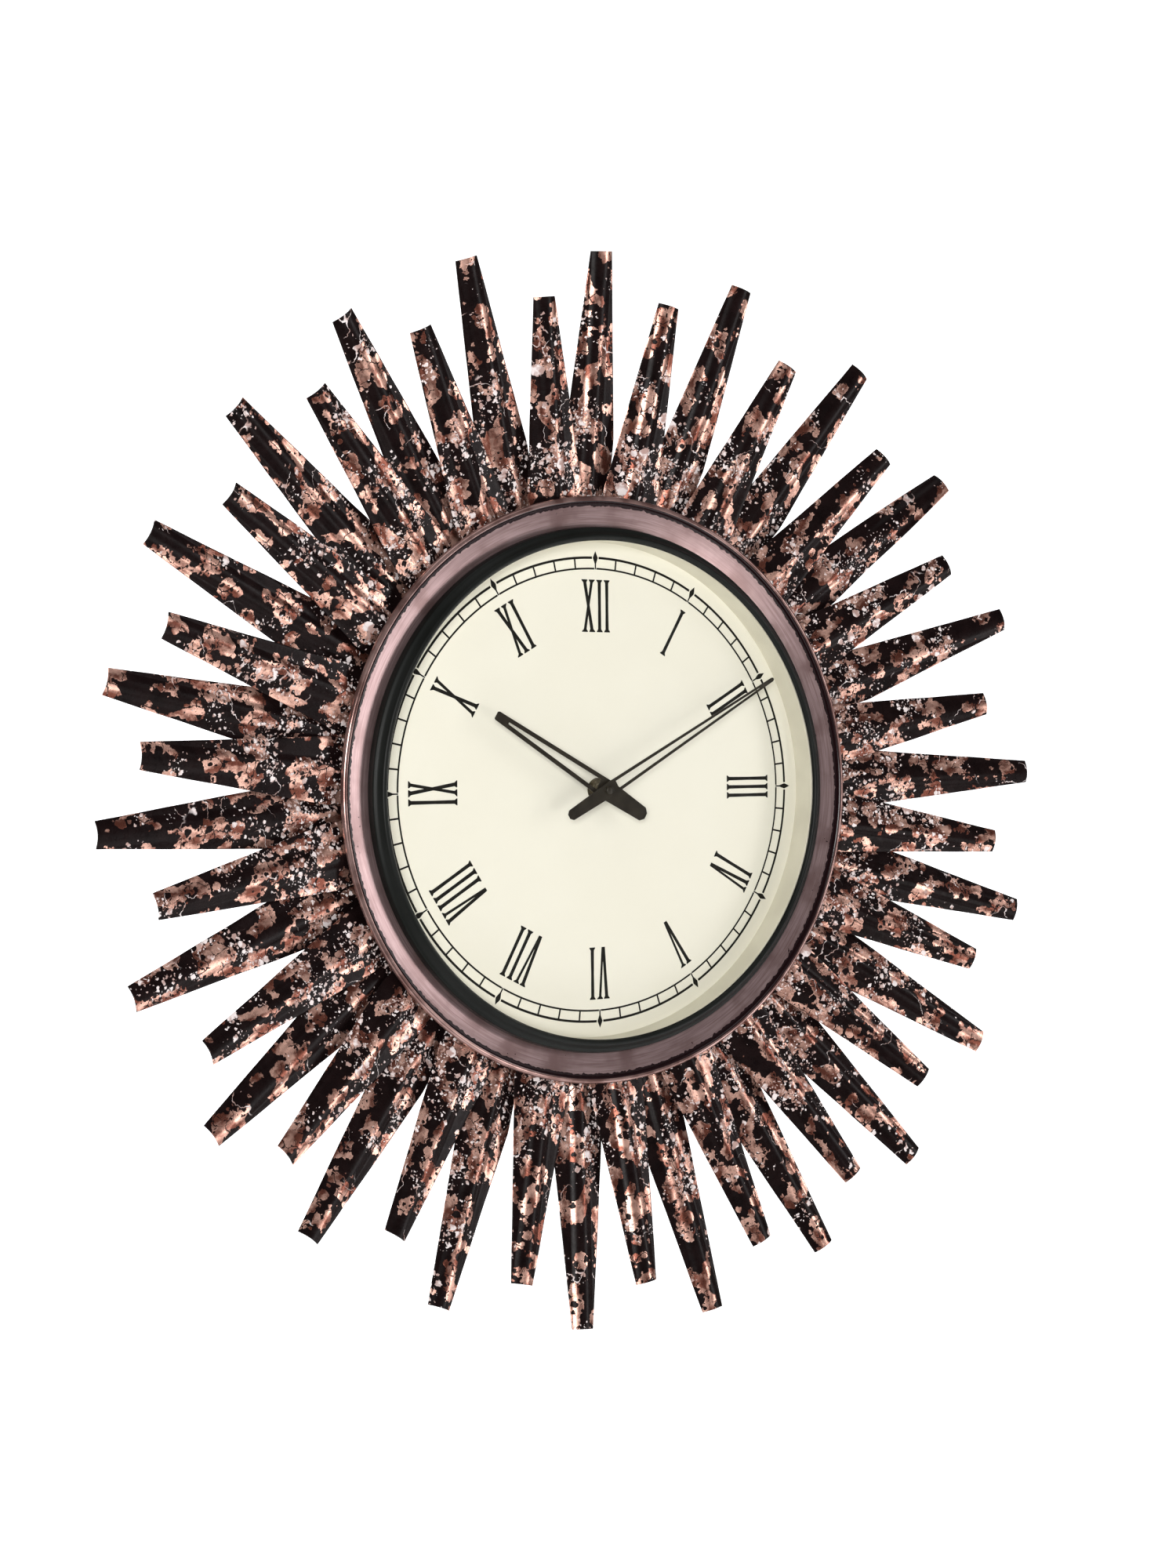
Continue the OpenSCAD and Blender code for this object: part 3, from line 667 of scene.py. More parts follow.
def ray_half_width(s, end_s, form):
    """Half the ray's width at a distance from the axis"""
    if s < form["wide_s"]:
        t = (s - ROOT_S) / (form["wide_s"] - ROOT_S)
        width = form["root_w"] + (form["wide_w"] - form["root_w"]) * t
    else:
        t = (s - form["wide_s"]) / (end_s - form["wide_s"])
        width = form["wide_w"] + (TIP_W - form["wide_w"]) * t
    return width / 2


def ray_height(u, t):
    """Height of the pressed section: round rib, soft fillets and sloping flanks"""
    rib_r = (RIB_HALF ** 2 + (CROWN_H - FLANK_H) ** 2) / (2 * (CROWN_H - FLANK_H))
    rib = CROWN_H - rib_r + math.sqrt(max(rib_r ** 2 - u * u, 0))
    slope = (FLANK_H - EDGE_H) / (FLANK_HALF - RIB_HALF)
    flank = FLANK_H - (abs(u) - RIB_HALF) * slope
    fillet = 0.9
    tip_drop = 0.2
    height = max(rib, flank) + max(fillet - abs(rib - flank), 0) ** 2 / (4 * fillet)
    return height - tip_drop * t * t * max(height - FLANK_H, 0)


def ray_sheet(index, end_s, lift, form):
    """Closed pressed sheet of one ray in its own frame, with its paint coordinates and finishes"""
    rows = 46
    rib_steps = 6
    flank_steps = 6
    shares = [k / rib_steps for k in range(-rib_steps, rib_steps + 1)]
    edge_round = 0.12
    twist_from, twist_full = 0.55, math.radians(34)
    skew = 0.045 * math.sin(index * 2.7 + 1)
    points, paint = [], []
    for row in range(rows + 1):
        t = row / rows
        level = ROOT_S + (end_s - ROOT_S) * t
        half = ray_half_width(level, end_s, form)
        inner = [RIB_HALF * share for share in shares]
        outer = [RIB_HALF + (half - RIB_HALF) * k / flank_steps for k in range(1, flank_steps + 1)]
        across = [-u for u in reversed(outer)] + inner + outer
        twist = twist_full * max(t - twist_from, 0) / (1 - twist_from)
        twist = twist if index == BENT_RAY else 0
        middle_h = lift + FLANK_H
        top, under = [], []
        for k, u in enumerate(across):
            rim = k in (0, len(across) - 1)
            wander = noise.noise(Vector((0.3 * u / half, level / 24, index * 5.1)))
            dent = 0.3 * noise.noise(Vector((u / 15, level / 26, index * 7.3)))
            dent += 0.05 * noise.noise(Vector((u / 5, level / 8, index * 3.7)))
            s = level + t ** 8 * (skew * u + 0.5 * wander)
            wide = u * (1 + 0.02 * wander)
            high = lift + ray_height(u, t) + dent - (edge_round if rim else 0)
            low = high - SHEET + (2 * edge_round if rim else 0)
            for line, h in ((top, high), (under, low)):
                turned_u = wide * math.cos(twist) - (h - middle_h) * math.sin(twist)
                turned_h = middle_h + wide * math.sin(twist) + (h - middle_h) * math.cos(twist)
                line.append((turned_u, s, turned_h))
        ends = []
        for side, toward in ((0, -1), (-1, 1)):
            a, b = Vector(top[side]), Vector(under[side])
            ends.append(tuple((a + b) / 2 + Vector((0.22 * toward, 0, 0))))
        ring = [ends[0]] + top + [ends[1]] + under[::-1]
        points += ring
        flat_u = [-half - 0.5] + across + [half + 0.5] + across[::-1]
        paint += [(u + 61 * index, level) for u in flat_u]
    count = len(ring)
    wide = len(across)
    fronts, backs = [], []
    for row in range(rows):
        for i in range(count):
            j = (i + 1) % count
            face = (row * count + i, row * count + j, (row + 1) * count + j, (row + 1) * count + i)
            (backs if wide + 2 <= i < count - 1 else fronts).append(face)
    for base in (0, rows * count):
        fronts.append((base, base + 1, base + count - 1))
        fronts.append((base + wide, base + wide + 1, base + wide + 2))
        for i in range(1, wide):
            fronts.append((base + i, base + i + 1, base + count - i - 1, base + count - i))
    return points, paint, fronts, backs


def make_rays(layout, finishes):
    """One piece for each ray, painted in front and black behind"""
    for index, (direction, end_s, lift) in enumerate(layout):
        form = SHORT_RAY if index % 2 else LONG_RAY
        points, paint, fronts, backs = ray_sheet(index, end_s, lift, form)
        place = clockwise(direction) @ Matrix.Rotation(RAY_LEAN, 4, "X")
        shape = Shape()
        shape.add((points, fronts), place, 0, paint)
        shape.add((points, backs), place, 1, paint)
        kind = "short" if index % 2 else "long"
        shape.build(
            f"{kind}_ray_{index + 1:02d}", finishes, replaces=[f"rays_{index // 4 + 1:02d}"],
            slot="splatter_paint", crease=50,
        )


def rivet_heads(low, high):
    """A round-headed rivet along w, between the faces that it holds together"""
    head_r, head_h = 2.6, 0.7
    shank_r = 1.45
    dome = arc((0, high), 1, 0, 90, 6)
    foot = arc((0, low), 1, -90, 0, 6)
    profile = [(0, low - head_h)]
    profile += [(head_r * x, low + head_h * (y - low)) for x, y in foot[1:]]
    profile += [(shank_r, low), (shank_r, high)]
    profile += [(head_r * x, high + head_h * (y - high)) for x, y in dome[:-1]]
    profile += [(0, high + head_h)]
    return turned(profile, 24)


def make_ray_rivets(layout, steel):
    """Rivets that hold the rays on their hoop, one piece for each layer"""
    for first, name in ((0, "long_ray_rivets"), (1, "short_ray_rivets")):
        shape = Shape()
        for direction, end_s, lift in layout[first::2]:
            place = clockwise(direction) @ Matrix.Rotation(RAY_LEAN, 4, "X")
            place = place @ Matrix.Translation((0, RIVET_S, 0))
            shape.add(rivet_heads(-HOOP_DROP, lift + CROWN_H + 0.05), place)
        shape.build(name + "_heads", [steel], replaces=[name], slot="plated_steel")


# ---------- bezel, gasket, glass and dial ----------

BEZEL_R, BEZEL_LOW, BEZEL_HIGH = span("bezel_ring")
WIRE_R, WIRE_LOW, WIRE_HIGH = span("rim_wire")
CURL_W = (WIRE_LOW + WIRE_HIGH) / 2
CURL_R = BEZEL_HIGH - CURL_W
RIM_R = BEZEL_R - CURL_R
RIM_EDGE_R = RIM_R - CURL_R
GLASS_R, GLASS_LOW, GLASS_HIGH = span("glass_lens")
DIAL_R, DIAL_LOW, DIAL_W = span("dial_plate")
SKIRT_R = span("rehaut_ring")[0] + 2.5
FACE_W = GLASS_LOW - 5


def make_bezel(lacquer):
    """Spun bezel: skirt, dished brushed face, and an edge curled round a wire"""
    face_in = (SKIRT_R - 0.2, FACE_W + 0.05)
    face_out = (RIM_EDGE_R - 0.1, CURL_W - 0.4)
    bulge = ((face_in[0] + face_out[0]) / 2, (face_in[1] + face_out[1]) / 2 + 0.12)
    curl = arc((RIM_R, CURL_W), CURL_R, 160, -165, 26)
    inside = arc((RIM_R, CURL_W), CURL_R - 0.75, -165, 150, 20)
    profile = [
        (SKIRT_R - 1, BEZEL_LOW), (SKIRT_R, BEZEL_LOW + 0.4), (SKIRT_R, FACE_W - 1.4),
        (SKIRT_R + 0.8, FACE_W - 0.7), (RIM_EDGE_R - 0.2, CURL_W - 1.5),
    ]
    profile += inside + curl[::-1]
    profile += [face_out, bulge, face_in]
    profile += [(SKIRT_R - 0.8, FACE_W - 0.2), (SKIRT_R - 1, FACE_W - 0.8)]
    make_turned("bezel_shell", profile, lacquer, "bezel_ring", "bezel_lacquer", crease=40)


def make_gasket(rubber):
    """Rubber ring with a rounded crest, a groove and an outer bead"""
    inner_r = GLASS_R - 4.1
    crest = arc((GLASS_R - 1.9, GLASS_HIGH + 0.1), 1.8, 150, 35, 10)
    bead = arc((GLASS_R + 2.1, GLASS_HIGH - 3.2), 1.7, 80, 10, 6)
    profile = [(inner_r, GLASS_HIGH + 0.02), (inner_r + 0.1, GLASS_HIGH + 0.25)]
    profile += crest + [(GLASS_R + 1.2, GLASS_HIGH - 0.9)] + bead
    profile += [
        (SKIRT_R + 0.25, FACE_W + 1.5), (SKIRT_R - 0.1, FACE_W + 0.1),
        (GLASS_R + 1.65, FACE_W + 0.05), (GLASS_R + 1.65, GLASS_LOW),
        (GLASS_R + 0.05, GLASS_LOW), (GLASS_R + 0.05, GLASS_HIGH + 0.02),
    ]
    make_turned("gasket_ring", profile, rubber, "glass_gasket", "black_gasket", crease=45)


def make_glass(glass):
    """Flat glass with ground edges"""
    profile = rounded(box_outline(0, GLASS_R, GLASS_LOW, GLASS_HIGH), 0.4)
    make_turned("glass_disc", profile, glass, "glass_lens", "clear_glass")


def make_dial(cream):
    """Cream plate with a hole for the bush"""
    hole_r = 4.2
    plate = rounded(box_outline(hole_r, DIAL_R, DIAL_LOW, DIAL_W), 0.15, 2)
    make_turned("dial_face", plate, cream, "dial_plate", "cream_dial")


def make_dial_wall(cream):
    """Wall between the dial and the glass, chamfered at its top"""
    inner_r, chamfer = 143.8, 0.4
    wall = [
        (inner_r, DIAL_W), (DIAL_R, DIAL_W), (DIAL_R, GLASS_LOW), (inner_r + chamfer, GLASS_LOW),
        (inner_r, GLASS_LOW - chamfer),
    ]
    make_turned("dial_wall", wall, cream, "rehaut_ring", "cream_wall")


def make_minute_track(ink):
    """Two printed circles with a line for each minute and a long diamond for each hour"""
    low = DIAL_W + PRINT_GAP
    high = low + INK_H
    tick_half = 0.52
    shape = Shape()
    for hour in range(12):
        start = 30 * hour
        for radius, half_w, gap in ((TRACK_R, 0.7, 0.95), (TRACK_IN_R, 0.52, 0.3)):
            first, last = radius - half_w, radius + half_w
            line = box_outline(first, last, low, high)
            shape.add(turned(line, 24, start + gap, start + 30 - gap))
        half = [
            (1.05, TRACK_R + 1.5), (1.65, TRACK_R), (1.05, TRACK_R - 1.8),
            (0.45, TRACK_R - 3.4), (0.36, TRACK_IN_R - 0.4),
        ]
        diamond = [(0, TRACK_R + 3.9)] + half + [(-u, v) for u, v in reversed(half)]
        shape.add(prism(diamond, low, high), clockwise(start))
        for minute in range(1, 5):
            tick = box_outline(-tick_half, tick_half, TRACK_IN_R, TRACK_R)
            shape.add(prism(tick, low, high - 0.005), clockwise(start + 6 * minute))
    shape.build("minute_track", [ink], slot="cream_dial")


def numeral_stroke(foot_u, head_u, width, foot_serif, head_serif):
    """One stroke with bracketed serifs, from foot_u at its foot to head_u at its head"""
    serif = 1.95
    thin = 0.5
    bracket = 1.7
    half = width / 2
    waist, flare = half * 0.9, half * 1.02
    rows = []
    if foot_serif:
        rows += [(0, serif), (thin, serif), (bracket, flare)]
    else:
        rows += [(0, waist)]
    rows += [(NUMERAL_H / 2, waist)]
    if head_serif:
        rows += [(NUMERAL_H - bracket, flare), (NUMERAL_H - thin, serif), (NUMERAL_H, serif)]
    else:
        rows += [(NUMERAL_H, half)]
    middle = [foot_u + (head_u - foot_u) * v / NUMERAL_H for v, reach in rows]
    right = [(m + reach, v + NUMERAL_FOOT_R) for m, (v, reach) in zip(middle, rows)]
    left = [(m - reach, v + NUMERAL_FOOT_R) for m, (v, reach) in zip(middle, rows)]
    return right + left[::-1]


def make_numerals(ink):
    """Twelve Roman numerals, each with its feet to the centre"""
    words = ["XII", "I", "II", "III", "IV", "V", "VI", "VII", "VIII", "IX", "X", "XI"]
    widths = {"I": 3.8, "V": 8.3, "X": 8.8}
    gap = 1.25
    inset, foot_split = 1.85, 0.3
    low = DIAL_W + PRINT_GAP
    shape = Shape()
    for hour, word in enumerate(words):
        place = clockwise(30 * hour + NUMERAL_TURN.get(word, 0))
        total = sum(widths[letter] for letter in word) + gap * (len(word) - 1)
        left = -total / 2
        count = 0
        for letter in word:
            middle = left + widths[letter] / 2
            reach = widths[letter] / 2 - inset
            strokes = {
                "I": [(middle, middle, STROKE_W, True, True)],
                "V": [
                    (middle - foot_split, middle - reach, STROKE_W, False, True),
                    (middle + foot_split, middle + reach, STROKE_W * 0.75, False, True),
                ],
                "X": [
                    (middle - reach, middle + reach, STROKE_W * 0.85, True, True),
                    (middle + reach, middle - reach, STROKE_W, True, True),
                ],
            }
            for stroke in strokes[letter]:
                outline = numeral_stroke(*stroke)
                shape.add(prism(outline, low, low + INK_H + 0.002 * count), place)
                count += 1
            left += widths[letter] + gap
    shape.build("roman_numerals", [ink], slot="cream_dial")


# ---------- hands and centre hardware ----------

def hand_outlines(form, hole_r):
    """Tapering blade with a slot, a solid tip and a tail with cut corners"""
    length, tail_w = form["length"], form["tail_w"]
    taper = (form["end_w"] - form["hub_w"]) / length
    slot_end = length - form["tip"]
    slot_w = form["hub_w"] + taper * SLOT_START - 2 * form["bar_w"]
    slot_end_w = max(0.3, form["hub_w"] + taper * slot_end - 2 * form["bar_w"])
    corner = 0.28 * tail_w
    tip_cut_u, tip_cut_v = 0.6, 1
    half_hub, half_end, half_tail = form["hub_w"] / 2, form["end_w"] / 2, tail_w / 2
    blade = [
        (-half_hub, 0), (-half_end, length - tip_cut_v), (tip_cut_u - half_end, length),
        (half_end - tip_cut_u, length), (half_end, length - tip_cut_v), (half_hub, 0),
        (half_tail, corner - TAIL_LEN), (half_tail - corner, -TAIL_LEN),
        (corner - half_tail, -TAIL_LEN), (-half_tail, corner - TAIL_LEN),
    ]
    slot = [
        (-slot_w / 2, SLOT_START), (-slot_end_w / 2, slot_end),
        (slot_end_w / 2, slot_end), (slot_w / 2, SLOT_START),
    ]
    hole = arc((0, 0), hole_r, 0, 360 - 360 / 48, 47)
    return [rounded(blade, 0.15, 3), slot, hole]


def make_hands(paint):
    """Both hands and the cap on the arbor"""
    for name, form, degrees, body, hole_r in (
        ("hour_hand", HOUR_HAND, HOUR_DEG, "hour_train", 2.5),
        ("minute_hand", MINUTE_HAND, MINUTE_DEG, "minute_train", 1.5),
    ):
        low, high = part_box(name)
        blade = slab(hand_outlines(form, hole_r), -high.y / MM, -low.y / MM, 0.14)
        shape = Shape().add(blade, clockwise(degrees))
        shape.build(name + "_blade", [paint], body, [name], "bronze_paint", 30)
    cap_r, cap_low, cap_high = span("hand_cap")
    profile = [(1.5, cap_low), (cap_r, cap_low)]
    for x, y in arc((0, 0), 1, 0, 90, 7):
        profile.append((cap_r * x, cap_low + 0.6 + (cap_high - cap_low - 0.6) * y))
    profile += [(0, cap_low + 1), (1.5, cap_low + 1)]
    make_turned(
        "cap_dome", profile, paint, "hand_cap", "bronze_paint", 48, body="minute_train", crease=40
    )


def make_bush(finish):
    """Threaded bush through the dial, with its washer and chamfered nut"""
    bush_r = 4
    flange_r, low, high = span("threaded_bush")
    pitch = 0.7
    bore_r = 2.55
    profile = [(bore_r, low), (flange_r, low), (flange_r, low + 0.8), (bush_r, low + 0.8)]
    w = low + 1.2
    while w < high - pitch:
        profile += [(bush_r, w), (bush_r - 0.35, w + pitch / 2)]
        w += pitch
    profile += [(bush_r - 0.3, high), (bore_r, high)]
    make_turned("bush_thread", profile, finish, "threaded_bush", "brass", 64, crease=20)
    washer_r, washer_low, washer_high = span("dial_washer")
    hole_r = bush_r + 0.05
    ring = rounded(box_outline(hole_r, washer_r, washer_low, washer_high), 0.15, 2)
    make_turned("washer_ring", ring, finish, "dial_washer", "brass", 96)
    nut_r, nut_low, nut_high = span("hex_nut")
    hexagon = arc((0, 0), nut_r, 0, 300, 5)
    bore = arc((0, 0), bush_r + 0.02, 0, 352.5, 47)
    Shape().add(slab([rounded(hexagon, 0.25, 3), bore], nut_low, nut_high, 0.3)).build(
        "nut_body", [finish], replaces=["hex_nut"], slot="brass", crease=30
    )


# ---------- case and back ----------

def carve(piece, cutter):
    """Cuts a closed shape out of a piece"""
    tool = bpy.data.meshes.new("cutter")
    points, faces = cutter
    tool.from_pydata(to_row(points), [], faces)
    clean(tool)
    holder = new_object("cutter", tool)
    change = piece.modifiers.new("cut", "BOOLEAN")
    change.operation = "DIFFERENCE"
    change.object = holder
    graph = bpy.context.evaluated_depsgraph_get()
    mesh = bpy.data.meshes.new_from_object(piece.evaluated_get(graph))
    piece.modifiers.remove(change)
    piece.data = mesh
    mesh.set_sharp_from_angle(angle=math.radians(35))
    bpy.data.objects.remove(holder)


def make_case(paint):
    """Deep-drawn pan with rounded bends, and the pressed hoop that carries the rays"""
    pan_r, back_w, top_w = span("case_pan")
    rear_r = 140
    window_r = 48
    seat_w = DIAL_LOW - 3
    outline = [
        (window_r, back_w), (rear_r, back_w), (rear_r, seat_w - 1), (pan_r, seat_w - 1),
        (pan_r, top_w), (pan_r - 1, top_w), (pan_r - 1, seat_w), (rear_r - 1, seat_w),
        (rear_r - 1, back_w + 1), (window_r, back_w + 1),
    ]
    bends = [0.45, 3.2, 0.5, 1.4, 0.3, 0.3, 0.4, 1.2, 2.2, 0.45]
    steps = 5
    profile = []
    for k, bend in enumerate(bends):
        corner = [outline[k - 1], outline[k], outline[(k + 1) % len(outline)]]
        profile += rounded(corner, bend, steps)[steps + 1:2 * steps + 2]
    pan = make_turned("pan_shell", profile, paint, "case_pan", "black_case_paint")
    hole = rounded(box_outline(-9, 9, 90, 120), 4, 5)
    carve(pan, prism(hole, back_w - 2, back_w + 3))

    rise = math.tan(RAY_LEAN)
    hoop_r, sleeve_w, hoop_top = span("ray_hoop")
    sleeve_r = rear_r + 0.05
    seat = seat_w - 1
    sheet = 1.5
    gap = 0.3
    under = gap + 2 / math.cos(RAY_LEAN)
    bend_r = 151
    inner_r, outer_r = bend_r + 1, bend_r + 2
    edge = [
        (sleeve_r, sleeve_w), (sleeve_r + sheet, sleeve_w), (sleeve_r + sheet, seat - sheet),
        (inner_r, seat - sheet), (outer_r, outer_r * rise - under),
        (hoop_r, hoop_r * rise - under), (hoop_r, hoop_r * rise - gap),
        (inner_r, inner_r * rise - gap), (bend_r, seat), (sleeve_r, seat),
    ]
    make_turned("hoop_shell", rounded(edge, 0.6, 3), paint, "ray_hoop", "black_case_paint")


def screw(head_r, head_h, shank_r, shank_len):
    """A pan-head screw along w, its head's seat at w = 0"""
    crown = arc((0, 0), 1, 0, 78, 6)
    profile = [(0, -shank_len), (shank_r * 0.8, -shank_len), (shank_r, -shank_len + 0.5)]
    profile += [(shank_r, 0), (head_r, 0), (head_r, 0.3 * head_h)]
    profile += [(head_r * x, head_h * (0.3 + 0.7 * y)) for x, y in crown[1:]]
    profile += [(0.1, head_h * 0.98), (0, head_h * 0.6)]
    return turned(profile, 32)


def make_screws(steel):
    """Screws of the hoop and of the bezel, standing out along the radii"""
    for node, count, first, seat_r, w, head in (
        ("hoop_screws", 8, 22.5, 141.55, 22, (3.6, 2.2, 2, 7.5)),
        ("bezel_screws", 6, 30, 151.11, 38, (2.7, 1.2, 1.5, 2.2)),
    ):
        shape = Shape()
        for k in range(count):
            place = outward(first + k * 360 / count, w) @ Matrix.Translation((0, 0, seat_r))
            shape.add(screw(*head), place)
        shape.build(node + "_heads", [steel], replaces=[node], slot="plated_steel")


def make_hanger(steel):
    """Keyhole plate with four round-headed rivets"""
    low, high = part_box("hanger_plate")
    bottom, top = low.z / MM, high.z / MM
    half = high.x / MM
    plate = rounded(box_outline(-half, half, bottom, top), 5, 6)
    entry_v, entry_r = 98, 4.5
    slot_v, slot_r = 112, 2.5
    dip = math.degrees(math.asin(slot_r / entry_r))
    keyhole = arc((0, entry_v), entry_r, 90 + dip, 450 - dip, 32)
    keyhole += arc((0, slot_v), slot_r, 0, 180, 16)
    back, front = -high.y / MM, -low.y / MM
    Shape().add(slab([plate, keyhole], back, front, 0.3)).build(
        "keyhole_plate", [steel], replaces=["hanger_plate"], slot="plated_steel", crease=30
    )
    shape = Shape()
    rivets_u, rivets_v = (-11, 11), (84, 126)
    for u in rivets_u:
        for v in rivets_v:
            shape.add(rivet_heads(back, front + 1.05), Matrix.Translation((u, v, 0)))
    shape.build("keyhole_plate_rivets", [steel], replaces=["hanger_rivets"], slot="plated_steel")


def make_bumpers(rubber):
    """Rubber feet with a ringed face, pressed into the pan"""
    shape = Shape()
    foot_at = 115
    profile = [
        (0, 0.5), (2.6, 0.5), (3.2, 0), (7, 0), (8, 1), (8, 4), (2, 4), (2, 5),
        (3.2, 5), (1.4, 8), (0, 8),
    ]
    profile = rounded(profile, 0.5, 3)
    for degrees in (45, 135, 225, 315):
        shape.add(turned(profile, 64), clockwise(degrees) @ Matrix.Translation((0, foot_at, 0)))
    shape.build("bumper_feet", [rubber], replaces=["wall_bumpers"], slot="black_gasket")


def make_battery(finishes):
    """AA cell: printed shell with rolled ends, insulating ring and pressed cap"""
    low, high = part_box("battery")
    start, end = low.x / MM, high.x / MM
    radius = (high.z - low.z) / 2 / MM
    v = (high.z + low.z) / 2 / MM
    w = -(high.y + low.y) / 2 / MM
    lie = Matrix.Translation((0, v, w)) @ Matrix.Rotation(math.pi / 2, 4, "Y")
    shell_end = end - 1.1
    shell = rounded(box_outline(0, radius, start, shell_end), 0.7, 4)
    cap = rounded(box_outline(0, 2.7, shell_end - 1, end), 0.5, 3)
    ring = rounded(box_outline(3.2, 5.6, shell_end - 0.2, shell_end + 0.12), 0.1, 2)
    shape = Shape()
    shape.add(turned(shell, 96), lie)
    shape.add(turned(cap, 64), lie, 1)
    shape.add(turned(ring, 64), lie, 2)
    shape.build("cell_shell", finishes, "cell", ["battery"], "battery_shell")


def soften(node, width):
    """Rounds the edges of a CAD node that stays"""
    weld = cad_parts[node].modifiers.new("weld", "WELD")
    weld.merge_threshold = 0.002 * MM
    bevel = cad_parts[node].modifiers.new("edges", "BEVEL")
    bevel.width = width * MM
    bevel.segments = 2
    bevel.limit_method = "ANGLE"
    bevel.angle_limit = math.radians(40)


def make_finishes():
    """One procedural material for each slot of the record, and the print's ink"""
    makers = (
        bezel_lacquer, plated_steel, black_gasket, clear_glass, cream_wall, cream_dial, hardboard,
        black_case_paint, splatter_paint, movement_plastic, brass, circuit_green, copper_winding,
        stator_iron, battery_shell, magnet_iron, white_acetal, bronze_paint, black_back, dial_ink,
    )
    return {maker.__name__: maker() for maker in makers}


def finish_cad_nodes(finishes):
    """Gives every CAD node the procedural material of its record slot"""
    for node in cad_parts.values():
        for slot in node.material_slots:
            name = slot.material.name.split(".")[0]
            slot.material = finishes["black_back" if name == "splatter_paint" else name]


# ---------- stage, light and camera ----------

def make_stage():
    """A pale sweep behind and under the clock, far enough off to stay out of every view"""
    front_y, back_y, floor_z, reach, bend = -1.3, 2.4, -1.5, 5.0, 1.0
    line = [(front_y, floor_z), (back_y - bend, floor_z)]
    for k in range(1, 12):
        a = math.radians(90 * k / 12)
        line.append((back_y - bend + bend * math.sin(a), floor_z + bend - bend * math.cos(a)))
    line += [(back_y, floor_z + bend), (back_y, reach)]
    points = [(x, y, z) for x in (-reach, reach) for y, z in line]
    count = len(line)
    faces = [(i, i + 1, count + i + 1, count + i) for i in range(count - 1)]
    mesh = bpy.data.meshes.new("sweep")
    mesh.from_pydata(points, [], faces)
    mesh.shade_smooth()
    f = Finish("sweep_paper")
    tooth = f.noise(f.place(), 300, 2)
    color = f.mix(tooth, (0.93, 0.93, 0.93), (0.95, 0.95, 0.95))
    glow = {"Base Color": color, "Roughness": 0.9}
    glow.update({"Emission Color": (1, 1, 1, 1), "Emission Strength": 0.85})
    mesh.materials.append(f.done(f.node("BsdfPrincipled", named=glow)))
    sweep = new_object("sweep", mesh)


def make_world():
    """White where the camera looks past the sweep, and a softer grey as light"""
    world = bpy.data.worlds.new("studio")
    bpy.context.scene.world = world
    world.use_nodes = True
    tree = world.node_tree
    tree.nodes.clear()
    new, link = tree.nodes.new, tree.links.new
    seen = new("ShaderNodeBackground")
    seen.inputs["Color"].default_value = (1, 1, 1, 1)
    light = new("ShaderNodeBackground")
    light.inputs["Color"].default_value = (0.93, 0.96, 1, 1)
    light.inputs["Strength"].default_value = 0.13
    path = new("ShaderNodeLightPath")
    pick = new("ShaderNodeMixShader")
    out = new("ShaderNodeOutputWorld")
    link(path.outputs["Is Camera Ray"], pick.inputs[0])
    link(light.outputs[0], pick.inputs[1])
    link(seen.outputs[0], pick.inputs[2])
    link(pick.outputs[0], out.inputs[0])


def toward(azimuth, elevation):
    """Direction from the clock: azimuth 0 is straight ahead of the dial and + is to its right"""
    a, e = math.radians(azimuth), math.radians(elevation)
    return Vector((math.sin(a) * math.cos(e), -math.cos(a) * math.cos(e), math.sin(e)))


def make_light(name, azimuth, elevation, distance, width, height, watts, color):
    """An area light aimed at the clock, in degrees from its axis, metres and watts"""
    lamp = bpy.data.lights.new(name, "AREA")
    lamp.shape = "RECTANGLE"
    lamp.size = width
    lamp.size_y = height
    lamp.energy = watts
    lamp.color = color
    holder = new_object(name, lamp)
    holder.location = toward(azimuth, elevation) * distance
    holder.rotation_euler = toward(azimuth, elevation).to_track_quat("Z", "Y").to_euler()


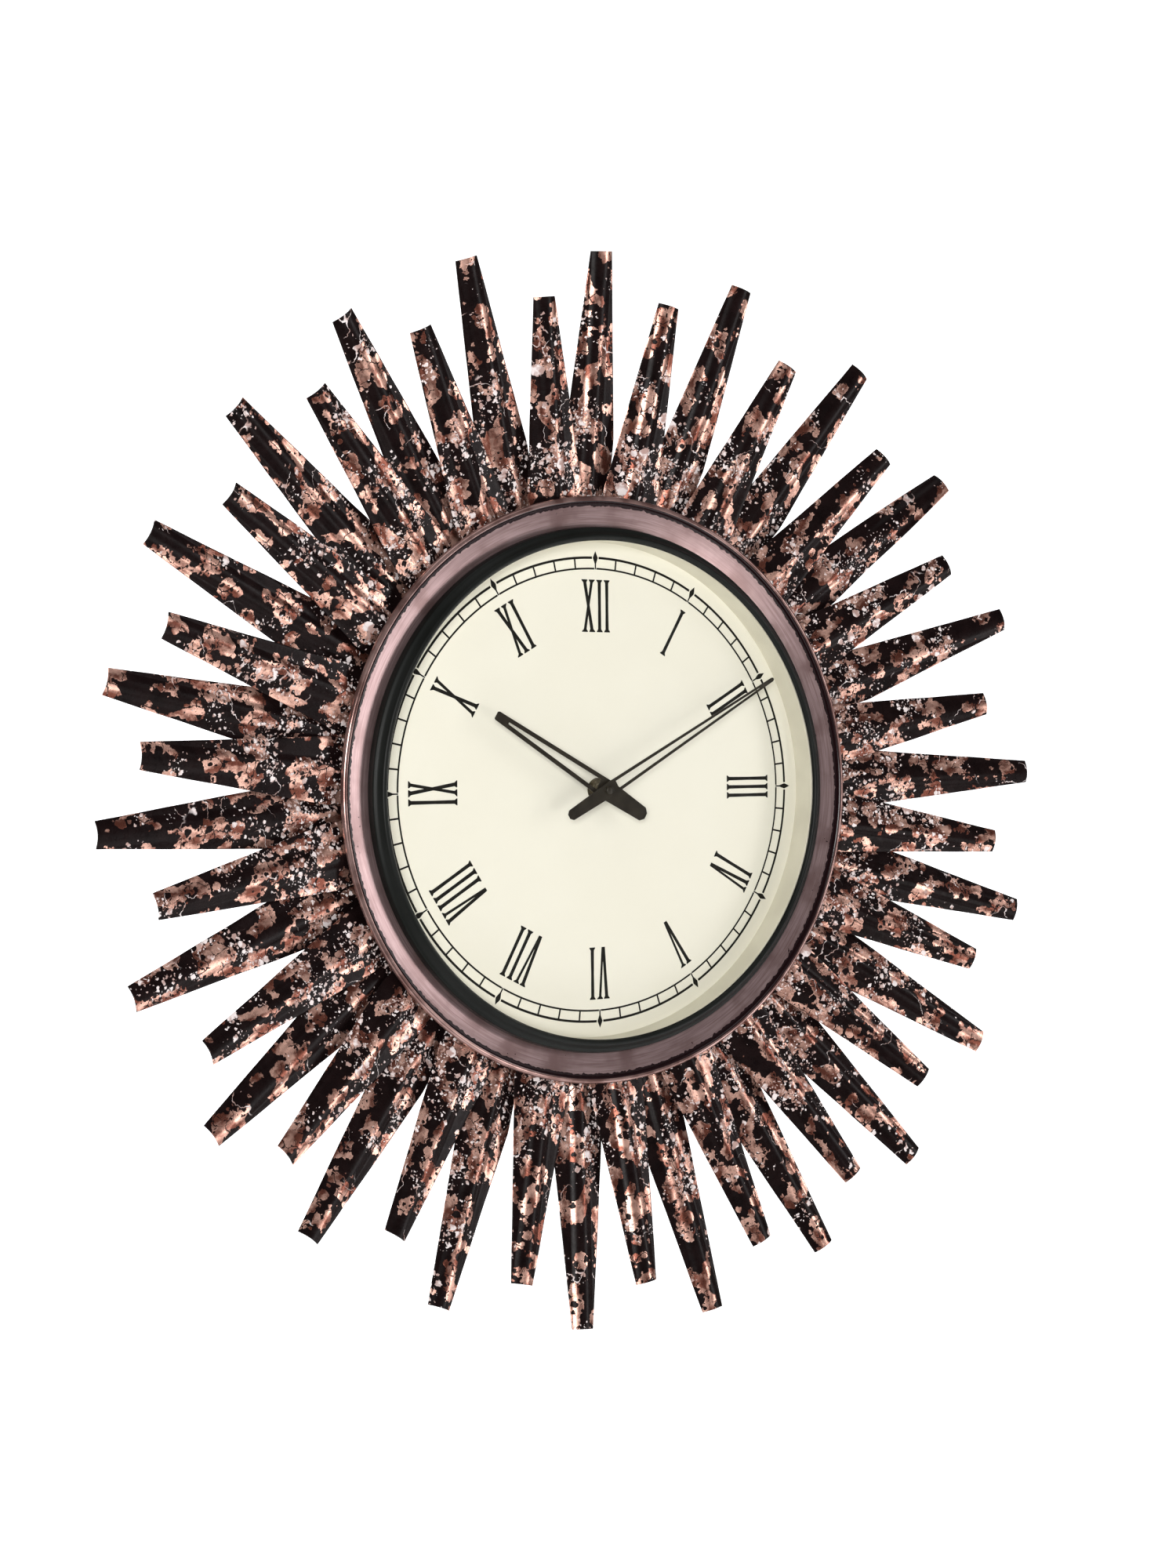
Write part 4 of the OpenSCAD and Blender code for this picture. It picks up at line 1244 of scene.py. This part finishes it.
def make_lights():
    """Low key, strip at the far right, broad light by the camera and a soft one on top"""
    make_light("key", 21, -24, 2.0, 0.26, 0.9, 5.8, (1, 0.985, 0.965))
    make_light("side_strip", 53, -4, 1.9, 0.4, 2.2, 18, (1, 0.98, 0.98))
    make_light("camera_side", -34, 5, 2.0, 0.7, 0.7, 27, (1, 0.99, 0.98))
    make_light("top_soft", -12, 66, 1.9, 1.2, 0.8, 4, (1, 1, 1))


def make_camera():
    """The photographer's place: left of the dial's axis, a little above it, slightly rolled"""
    target = Vector((-0.0065, -0.034, 0.0035))
    azimuth, elevation, distance = -31.06, 0.9, 1.139
    roll = math.radians(-0.59)
    back = toward(azimuth, elevation)
    right = Vector((0, 0, 1)).cross(back).normalized()
    up = back.cross(right)
    turned_right = right * math.cos(roll) + up * math.sin(roll)
    turned_up = up * math.cos(roll) - right * math.sin(roll)
    lens = bpy.data.cameras.new("camera")
    lens.sensor_width = 36
    lens.lens = 45.1
    lens.clip_start = 0.05
    holder = new_object("camera", lens)
    holder.matrix_world = Matrix.Translation(target + back * distance) @ Matrix(
        (turned_right, turned_up, back)
    ).transposed().to_4x4()
    bpy.context.scene.camera = holder


def main():
    make_camera()
    make_stage()
    make_world()
    make_lights()
    bpy.context.scene.view_settings.view_transform = "Standard"

    finishes = make_finishes()
    steel, ink = finishes["plated_steel"], finishes["dial_ink"]
    layout = rays_in_frame()
    make_rays(layout, [finishes["splatter_paint"], finishes["black_back"]])
    make_ray_rivets(layout, steel)
    make_bezel(finishes["bezel_lacquer"])
    make_gasket(finishes["black_gasket"])
    make_glass(finishes["clear_glass"])
    make_dial(finishes["cream_dial"])
    make_dial_wall(finishes["cream_wall"])
    make_minute_track(ink)
    make_numerals(ink)
    make_hands(finishes["bronze_paint"])
    make_bush(finishes["brass"])
    make_case(finishes["black_case_paint"])
    make_screws(steel)
    make_hanger(steel)
    make_bumpers(finishes["black_gasket"])
    make_battery([finishes["battery_shell"], steel, finishes["hardboard"]])
    finish_cad_nodes(finishes)
    for node in ("movement_tub", "movement_cover", "setting_knob"):
        soften(node, 0.3)


main()
